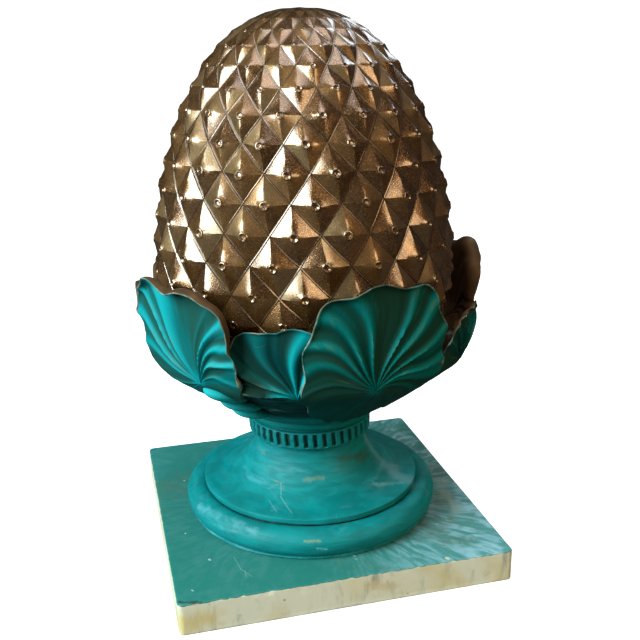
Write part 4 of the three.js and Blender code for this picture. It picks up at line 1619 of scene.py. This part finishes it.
@dataclass(frozen=True)
class Pinecone:
    """The cone of diamond scales, each with a stud on its tip and a cord along its sides.

    Attributes:
        finish: Its paint.
        radius: Radius of the scale tips at the widest place.
        seat_radius: Radius of its seat.
        widest_share: Height of the widest place, as a share of the cone's height.
        shoulder_power: How long the side stays upright over it.
        blunt_power: How blunt the top is.
        offset: How far the axis stands off the plinth's, along X.
        scales: Scales in a ring.
        pitch: Distance between rings at the widest place.
        shrink: How much of that is lost where the radius is nothing.
        relief: Height of a scale over its valleys.
        fading_radius: Radius below which the relief shrinks.
        twist: Turn from one ring to the next, in degrees.
        even_radius: Radius from which the scales are evenly placed.
        stud_radius: Radius of a stud.
        least_stud: Size of the smallest studs, as a share.
        stud_rings: Radii of a stud's rings of points, as shares, from its dimple out.
        stud_rises: Their heights over the scale's tip, in millimetres.
        slope_rings: Places of the further rings, as shares of the way to the scale's sides.
        cord_rises: Their heights over the plain slope, in millimetres.
        faint_rise: Height of the faint cords, as a share.
        faint_paint: How pale the faint cords are painted, as a share; the pale is wear and painted
            glint.
        fringe_rise: Height of the cord at the seat and the cap.
        cap_height: Height of the small dome at the very top.
        cap_bump: Height of the dome's bumps.
        edge_steps: Points along one side of a scale.
    """

    finish: BronzePaint
    radius: float = 106 * MM
    seat_radius: float = 69 * MM
    widest_share: float = 0.3333
    shoulder_power: float = 1.8
    blunt_power: float = 0.439
    offset: float = -1.5 * MM
    scales: int = 20
    pitch: float = 19 * MM
    shrink: float = 0.5
    relief: float = 5.6 * MM
    fading_radius: float = 92 * MM
    twist: float = 7.5
    even_radius: float = 85 * MM
    stud_radius: float = 2.5 * MM
    least_stud: float = 0.25
    stud_rings: tuple[float, ...] = (0, 0.4, 0.68, 0.88, 1.02, 1.3)
    stud_rises: tuple[float, ...] = (-1.7, -1.6, -1.0, -0.7, -0.8, -1.45)
    slope_rings: tuple[float, ...] = (0.22, 0.5, 0.78, 0.93, 0.965, 1.0)
    cord_rises: tuple[float, ...] = (0, -0.05, -0.1, -0.1, 0.25, 0.75)
    faint_rise: float = 0.55
    faint_paint: float = 0.5
    fringe_rise: float = 0.8 * MM
    cap_height: float = 1.2 * MM
    cap_bump: float = 0.35 * MM
    edge_steps: int = 6

    @property
    def height(self) -> float:
        """Height of the cone over its seat."""
        low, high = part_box("pinecone")
        return high[2] - low[2]

    def radius_at(self, height: Array) -> Array:
        """Radius of the scale tips: an ellipse below the widest place and a blunt egg curve over it.

        Args:
            height: Heights over the seat.

        Returns:
            The radii.
        """
        widest = self.widest_share * self.height
        depth = widest / math.sqrt(1 - (self.seat_radius / self.radius) ** 2)
        down = (widest - np.minimum(height, widest)) / depth
        below = self.radius * np.sqrt(np.maximum(1 - down**2, 0))
        up = np.clip((height - widest) / (self.height - widest), 0, 1)
        above = self.radius * (1 - up**self.shoulder_power) ** self.blunt_power
        return np.where(height < widest, below, above)

    def levels(self) -> tuple[Array, Array]:
        """Heights of the rings: the curve's length, measured in pitches that shrink with the
        radius, read at whole numbers, with ring 0 at the widest place.

        Returns:
            The rings' numbers and heights, from the seat to the edge of the cap.
        """
        height = np.linspace(0.25 * MM, self.height - 0.25 * MM, 1000)
        radius = self.radius_at(height)
        step = np.hypot(np.diff(height), np.diff(radius))
        size = self.pitch * (1 - self.shrink * (1 - radius / self.radius))
        count = np.concatenate([[0], np.cumsum(step / size[1:])])
        count -= np.interp(self.widest_share * self.height, height, count)
        numbers = np.arange(math.ceil(count[0]), math.floor(count[-1]) + 1)
        heights = np.interp(numbers, count, height)
        numbers = np.concatenate([[numbers[0] - 1], numbers, [numbers[-1] + 1]])
        return numbers, np.concatenate([[0], heights, [self.height - self.cap_height]])

    def surface(
        self, ring: Array, slot: Array, x: Array, y: Array, drop: Array, raise_by: Array
    ) -> Array:
        """Points of the cone in one scale's own coordinates: x from -0.5 to 0.5 across it and y
        from -1 to 1 up it, which turn into an angle and a height by straight blends.

        Args:
            ring: Number of the scale's ring.
            slot: Number of the scale in its ring.
            x: Place across the scale.
            y: Place up the scale.
            drop: Share of the relief by which the point lies under the tips.
            raise_by: Height over that, in metres where the relief is full.

        Returns:
            The points.
        """
        numbers, heights = self.levels()
        height = np.interp(ring + y, numbers, heights)
        curve = self.radius_at(height)
        fade = np.minimum(1, curve / self.fading_radius)
        seat_fade = ease(height, 0, 8 * MM)
        lean = (numbers[1] - numbers[0]) * 360 / self.scales / 2 - self.twist
        turn = 360 / self.scales * (slot + x) + self.twist * ring - lean * y
        radius = curve - fade * seat_fade * (self.relief * drop - raise_by)
        points = around_axis(radius, FRONT + np.radians(turn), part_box("pinecone")[0][2] + height)
        rough = 0.22 * MM * layered_noise(points, 7 * MM, 71) - 0.25 * MM
        points = points * (1 + (rough / np.maximum(radius, 20 * MM))[..., None] * np.array([1, 1, 0]))
        sway = np.stack([smooth_noise(points, 16 * MM, seed) for seed in (72, 73, 74)], axis=-1)
        kept = (ease(height, 2 * MM, 12 * MM) * ease(self.height - height, 1 * MM, 8 * MM))[..., None]
        return points + 0.8 * MM * sway * kept * self.along(points) + np.array([self.offset, 0, 0])

    @staticmethod
    def along(points: Array) -> Array:
        """How far a warp may go along each axis: less where that axis points out of the cone."""
        outward = np.abs(points) * np.array([1, 1, 0])
        return 1 - 0.9 * outward / np.maximum(np.linalg.norm(outward, axis=-1, keepdims=True), TINY)

    def for_each(self, values: Array) -> Array:
        """One value for each scale, from one for each ring."""
        return values.repeat(self.scales)[:, None, None]

    def boundary(self) -> Array:
        """Points around a scale's diamond, evenly along each side: right, top, left, bottom."""
        corners = np.array([[0.5, 0], [0, 1], [-0.5, 0], [0, -1]])
        share = (np.arange(self.edge_steps) / self.edge_steps)[None, :, None]
        return blend(corners[:, None], np.roll(corners, -1, axis=0)[:, None], share).reshape(-1, 2)

    def side_strength(self, faint: float) -> Array:
        """How strong the cord is at each point around a scale: full on the sides that fall to the
        right, and faint on the others, with the corners half way.

        Args:
            faint: Strength of the faint sides.

        Returns:
            The strengths, from the right corner on.
        """
        sides = np.repeat([1.0, faint, 1.0, faint], self.edge_steps)
        return ((sides + np.roll(sides, 1)) / 2)[None, None, :]

    def scale_grid(self) -> Skin:
        """All whole scales: rings of points from the stud's dimple out to its foot as circles, and
        on to the diamond's sides, where a cord is raised.

        Returns:
            The scales' skin, still open along the seat and the cap.
        """
        numbers, heights = self.levels()
        rings = np.repeat(numbers[1:-1], self.scales)[:, None, None]
        slots = np.tile(np.arange(self.scales), len(numbers) - 2)[:, None, None]
        middle = self.radius_at(heights)
        slope, radius = np.gradient(middle)[1:-1], middle[1:-1]
        climb = self.for_each(np.hypot(np.gradient(heights)[1:-1], slope))
        width = self.for_each(FULL_TURN * radius / self.scales)
        size = self.for_each(np.clip(radius / self.fading_radius, self.least_stud, 1))
        loose = self.for_each(2.2 - 1.2 * np.clip(radius / self.even_radius, 0, 1))
        edge = self.boundary()
        edge_x, edge_y = edge[None, None, :, 0], edge[None, None, :, 1]
        heading = np.arctan2(edge_y * climb, edge_x * width)
        own = np.concatenate([rings, slots, 0 * rings], axis=-1)[:, 0].astype(float) + 0.5
        jitter = np.stack([smooth_noise(own, 1, seed) for seed in (81, 82)], axis=-1)[:, None, None, :]
        circle, out = np.array(self.stud_rings)[None, :, None], np.array(self.slope_rings)[None, :, None]
        stud_rise = np.array(self.stud_rises)[None, :, None] * MM
        cord_rise = np.array(self.cord_rises)[None, :, None] * MM * self.side_strength(self.faint_rise)
        stud_x = self.stud_radius * size * circle * np.cos(heading) / width
        stud_y = self.stud_radius * size * circle * np.sin(heading) / climb
        foot_x, foot_y = stud_x[:, -1:], stud_y[:, -1:]
        x = np.concatenate([stud_x, blend(foot_x, edge_x, out)], axis=1)
        y = np.concatenate([stud_y, blend(foot_y, edge_y, out)], axis=1)
        share = np.concatenate([0 * circle, out], axis=1)
        x = x + 0.045 * loose * jitter[..., 0] * (1 - share)
        y = y + 0.07 * loose * jitter[..., 1] * (1 - share)
        foot_drop = -stud_rise[:, -1:] / self.relief
        drop = np.concatenate([0 * circle, blend(foot_drop, 1.0, out)], axis=1)
        lift = np.concatenate([stud_rise + 0 * cord_rise[:, :1], cord_rise], axis=1)
        points = self.surface(rings, slots, x, y, drop * np.ones_like(x), lift * np.ones_like(x))
        return self.pack_scales(points, share * np.ones_like(x), drop * np.ones_like(x), own)

    def pack_scales(self, points: Array, share: Array, drop: Array, own: Array) -> Skin:
        """Faces and masks for the scales' points.

        Args:
            points: Scales by rings of points by points around by three.
            share: How far out each point lies between the stud's foot and the sides.
            drop: Share of the relief under the tips.
            own: Each scale's own place in the noise.

        Returns:
            The skin.
        """
        count, rows, columns = points.shape[:3]
        one = wrapped_faces(rows, columns)
        faces = (one[None] + (np.arange(count) * rows * columns)[:, None, None]).reshape(-1, 4)
        half = self.edge_steps / 2
        to_corner = np.abs((np.arange(columns) + half) % self.edge_steps - half)
        # The ridges and stud rims are painted pale: partly wear, partly painted glints.
        ridge = np.clip(1 - to_corner, 0, 1)[None, None, :] * (share > 0)
        plain = [0] * len(self.slope_rings)
        stud_ring = np.array([0, 0, 0.3, 1, 0.85, 0.1] + plain)[None, :, None]
        # The pit mask paints shade into the studs' dimples.
        pit = np.array([1, 0.9, 0.2, 0, 0, 0] + plain)[None, :, None]
        # The cords are painted pale, stronger on the sides that fall to the right: wear and painted
        # glints.
        cord = np.array([0] * (rows - 2) + [0.5, 1])[None, :, None]
        cord = cord * self.side_strength(self.faint_paint)
        shape = share.shape
        masks = {
            "rise": (1 - drop).reshape(-1),
            "ridge": np.maximum(0.8 * ridge, 0.85 * stud_ring * np.ones(shape)).reshape(-1),
            "cord": (cord * np.ones(shape)).reshape(-1),
            "pit": (pit * np.ones(shape)).reshape(-1),
        }
        side = np.arange(columns) // self.edge_steps
        # Each facet gets a random tint, which the paint shows partly as painted reflection.
        facets = np.repeat(own[:, None, :], 4, axis=1)
        facets = facets + np.arange(4)[None, :, None] * np.array([0, 0, 7])
        shade = lattice_values(np.floor(facets).reshape(-1, 3), 85).reshape(count, 4)
        tints = np.broadcast_to(shade[:, None, side], (count, rows - 1, columns)).reshape(-1)
        return Skin(points.reshape(-1, 3), faces, masks, tints)

    def fringe(self, ring: int, side: int) -> Skin:
        """Half diamonds that square off the scales at the seat or the cap: a triangle of points
        for each, with as many along its sides as a scale has.

        Args:
            ring: Number of the ring in which the half diamonds' straight sides lie.
            side: 1 where they point up from it, and -1 where they point down.

        Returns:
            The skin of all of them.
        """
        steps = self.edge_steps
        row, column = np.array([(r, c) for r in range(steps + 1) for c in range(r + 1)]).T
        x = (column - row / 2) / steps
        y = side * (1 - row / steps)
        index = row * (row + 1) // 2 + column
        inner = row < steps
        here, below = index[inner], index[inner] + row[inner] + 1
        faces = [np.stack([here, below, below + 1, below + 1], axis=1)]
        filled = inner & (column < row)
        here = index[filled]
        faces.append(np.stack([here, here + row[filled] + 2, here + 1, here + 1], axis=1))
        one = np.concatenate(faces)
        slots = np.arange(self.scales)[:, None]
        rise = np.full((1, 1), self.fringe_rise)
        points = self.surface(ring + 0 * slots, slots, x[None], y[None], np.ones((1, 1)), rise)
        count = len(x)
        many = (one[None] + (np.arange(self.scales) * count)[:, None, None]).reshape(-1, 4)
        many = many if side < 0 else many[:, ::-1]
        return Skin(points.reshape(-1, 3), many, self.plain_masks(self.scales * count))

    @staticmethod
    def plain_masks(count: int) -> dict[str, Array]:
        """Masks for stretches without scales."""
        return {
            "rise": np.full(count, 0.5), "ridge": np.zeros(count), "cord": np.full(count, 0.6),
            "pit": np.zeros(count),
        }

    def disc(self, ring: int, middle: float, side: int) -> Skin:
        """The seat or the cap: circles of points from the fringe's straight sides to the middle.

        Args:
            ring: Number of the fringe's ring.
            middle: Height of its middle.
            side: 1 for the seat, and -1 for the cap.

        Returns:
            The skin.
        """
        steps = self.edge_steps
        x = np.arange(self.scales * steps) / steps
        rim = self.surface(np.array(ring), 0 * x, x, 0 * x, np.ones(1), np.full(1, self.fringe_rise))
        axis = np.array([self.offset, 0, middle])
        circles = 7
        share = np.linspace(0, 1, circles)[:, None, None]
        points = blend(rim[None], axis, share)
        points[..., 2] = rim[None, :, 2] + (middle - rim[None, :, 2]) * (1 - (1 - share[..., 0]) ** 2)
        bumps = self.cap_bump * (layered_noise(points, 4 * MM, 91) - 1) * np.sin(math.pi * share[..., 0])
        points[..., 2] += bumps * (side < 0)
        faces = wrapped_faces(circles, len(x))
        faces = faces if side < 0 else faces[:, ::-1]
        return Skin(points.reshape(-1, 3), faces, self.plain_masks(circles * len(x)))

    def build(self) -> None:
        """The cone: its scales, the fringes at its seat and cap, and the two discs, in one skin."""
        numbers, _ = self.levels()
        low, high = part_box("pinecone")
        first, last = int(numbers[0]), int(numbers[-1])
        skin = self.scale_grid()
        for ring, side in ((first, 1), (last, -1)):
            skin = skin.joined(self.fringe(ring, side))
        for ring, middle, side in ((first, low[2], 1), (last, high[2], -1)):
            skin = skin.joined(self.disc(ring, middle, side))
        skin.welded().piece("scaled_cone", "pinecone", Slot.BRONZE, self.finish.material(), 19)


@dataclass(frozen=True)
class Lamp:
    """A soft rectangular light.

    Attributes:
        name: Its name.
        place: Where it stands.
        size: Its width and height.
        power: Its power, in watts.
        colour: Its colour.
    """

    name: str
    place: Place
    size: Pair
    power: float
    colour: Colour


LAMPS: tuple[Lamp, ...] = (
    Lamp("window", (-1.5, -0.5, 1.1), (1.1, 1.3), 62, (0.8, 0.96, 1.0)),
    Lamp("overhead", (0.1, -0.1, 1.8), (1.0, 1.0), 9, (0.94, 0.97, 1.0)),
    Lamp("skylight", (0.9, 0.8, 1.2), (0.5, 0.5), 4, (0.7, 0.86, 1.0)),
    Lamp("right_fill", (0.85, -1.25, 0.95), (0.8, 0.8), 9.2, (1.0, 0.8, 0.5)),
)


@dataclass(frozen=True)
class Studio:
    """A pale sweep, soft lights and the camera at the photograph's place.

    Attributes:
        lamps: The lights.
        place: The camera's place.
        yaw: Its turn about +Z.
        pitch: Its tilt down.
        roll: Its turn about its own line of sight.
        lens: Its focal length, in millimetres.
        sensor: Its sensor's width, in millimetres.
        floor_colour: The sweep's colour, as the camera sees it.
        floor_glow: What is added to it there, so that it stays nearly white.
        bounce_colour: Its colour in reflections and bounced light.
        air_colour: Colour of the light from all around.
        air_strength: Its strength on the object.
    """

    lamps: tuple[Lamp, ...] = LAMPS
    place: Place = (-0.1446, -0.5979, 0.3657)
    yaw: float = -0.2517
    pitch: float = -0.317
    roll: float = 0.0134
    lens: float = 50.29
    sensor: float = 36.0
    floor_colour: Colour = (0.86, 0.86, 0.85)
    floor_glow: float = 0.9
    bounce_colour: Colour = (0.06, 0.055, 0.05)
    air_colour: Colour = (0.93, 0.96, 1.0)
    air_strength: float = 0.05

    def camera(self) -> None:
        """The camera, turned by its yaw, pitch and roll."""
        data = bpy.data.cameras.new("camera")
        data.lens, data.sensor_width = self.lens, self.sensor
        made = new_object("camera", data)
        upright = Matrix.Rotation(math.pi / 2, 4, "X")
        turn = (Matrix.Rotation(self.yaw, 4, "Z") @ Matrix.Rotation(self.pitch, 4, "X")
                @ Matrix.Rotation(self.roll, 4, "Y") @ upright)
        made.matrix_world = Matrix.Translation(self.place) @ turn
        bpy.context.scene.camera = made

    def light(self, lamp: Lamp) -> None:
        """Adds a light that looks at the finial's middle.

        Args:
            lamp: What it is like.
        """
        data = bpy.data.lights.new(lamp.name, "AREA")
        data.shape, (data.size, data.size_y) = "RECTANGLE", lamp.size
        data.energy, data.color = lamp.power, lamp.colour
        made = new_object(lamp.name, data)
        made.location = lamp.place
        aim = Vector((0, 0, 0.2)) - Vector(lamp.place)
        made.rotation_euler = aim.to_track_quat("-Z", "Y").to_euler()

    def sweep(self) -> None:
        """The floor, which curves up behind into a wall: a quarter circle between two planes."""
        front, bend, reach, width, top = -3.0, 0.8, 2.2, 4.0, 3.0
        turn = np.radians(np.linspace(0, 90, 17))
        depth = np.concatenate([[front], reach + bend * np.sin(turn), [reach + bend]])
        height = np.concatenate([[0.0], bend * (1 - np.cos(turn)), [top]])
        across = np.array([-width, width])
        points = np.stack(np.broadcast_arrays(across[None, :], depth[:, None], height[:, None]), axis=-1)
        turned = np.array(Matrix.Rotation(self.yaw, 3, "Z"))
        points = points.reshape(-1, 3) @ turned.T
        first = 2 * np.arange(len(depth) - 1)
        faces = np.stack([first, first + 1, first + 3, first + 2], axis=1)
        mesh = bpy.data.meshes.new("sweep")
        mesh.from_pydata(points, [], faces)
        mesh.shade_smooth()
        made = new_object("sweep", mesh)
        material = bpy.data.materials.new("sweep_paper")
        material.use_nodes = True
        nodes = Nodes(material.node_tree)
        material.node_tree.nodes.clear()
        seen = nodes.add("ShaderNodeLightPath").outputs["Is Camera Ray"]
        colour = nodes.mix(seen, self.bounce_colour, self.floor_colour)
        glow = nodes.times(seen, self.floor_glow)
        inputs = {"Base Color": colour, "Roughness": 0.9, "Specular IOR Level": 0.1,
                  "Emission Color": (1.0, 1.0, 1.0), "Emission Strength": glow}
        surface = nodes.add("ShaderNodeBsdfPrincipled", inputs)
        nodes.add("ShaderNodeOutputMaterial", {"Surface": surface.outputs["BSDF"]})
        mesh.materials.append(material)

    def world(self) -> None:
        """Even light from all around: white to the camera, and dimmer on the object."""
        world = bpy.data.worlds.new("studio")
        world.use_nodes = True
        nodes = Nodes(world.node_tree)
        world.node_tree.nodes.clear()
        seen = nodes.add("ShaderNodeLightPath").outputs["Is Camera Ray"]
        strength = nodes.times_plus(seen, 1 - self.air_strength, self.air_strength)
        back = nodes.add("ShaderNodeBackground", {"Color": self.air_colour, "Strength": strength})
        nodes.add("ShaderNodeOutputWorld", {"Surface": back.outputs["Background"]})
        bpy.context.scene.world = world

    def build(self) -> None:
        """Sets up the whole studio."""
        self.camera()
        self.sweep()
        self.world()
        for lamp in self.lamps:
            self.light(lamp)
        view = bpy.context.scene.view_settings
        view.view_transform = "Standard"
        view.look = "None"


def main() -> None:
    """Builds the studio and every sub-assembly in order."""
    logging.basicConfig(level=logging.INFO, format="%(message)s", stream=sys.stdout)
    effects = Effects()
    Studio().build()
    cone = Pinecone(BronzePaint(effects))
    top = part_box("plinth")[1][2]
    Plinth(PlinthFinish(effects, top, marks=PLINTH_MARKS)).build()
    Foot(TealPaint(
        effects, "teal_foot", teal=(0.0, 0.275, 0.28), pale=(0.3, 0.4, 0.3), scuffed=0.8,
        scratched=0.3, glazed=0.5, bared=0.5, gloss=0.3, marks=FOOT_MARKS,
    )).build()
    # Lit and shaded copies of the leaves' teal: painted light and painted shade. The folded copy paints
    # strong highlights on the crests and dark shade where the leaf is tucked.
    facing_light = TealPaint(
        effects, "teal_leaf_facing_light", teal=(0.0, 0.34, 0.355), pale=(0.38, 0.46, 0.38), beige=(0.34, 0.25, 0.14),
        scuffed=0.9, scratched=0.15, shaded=0.6, glazed=0.7, lit=0.5, gloss=0.1, flow="flow",
    )
    folded = replace(
        facing_light, name="folded_leaf_lit_and_shaded", teal=(0.0, 0.4, 0.41), shade=(0.0, 0.015, 0.014), shaded=0.9,
        glazed=0.4, lit=0.8,
    )
    deep = replace(
        facing_light, name="teal_leaf_in_shade", teal=(0.0, 0.2, 0.18), shade=(0.0, 0.04, 0.03), shaded=0.8, lit=0.15,
    )
    dark = replace(deep, name="teal_leaf_in_deep_shade", teal=(0.0, 0.08, 0.07), lit=0.1)
    # The bowl's paint is nearly black in its valleys: painted shade under the leaves.
    bowl = TealPaint(
        effects, "teal_bowl", shade=(0.0, 0.003, 0.003), scuffed=0.95, shaded=1.0, glazed=0.1,
    )
    tones = {LeafLighting.BRIGHT: facing_light, LeafLighting.FOLDED: folded, LeafLighting.IN_SHADE: deep, LeafLighting.DARK: dark}
    LeafCup(tones, bowl, cone).build()
    cone.build()


if __name__ == "__main__":
    main()
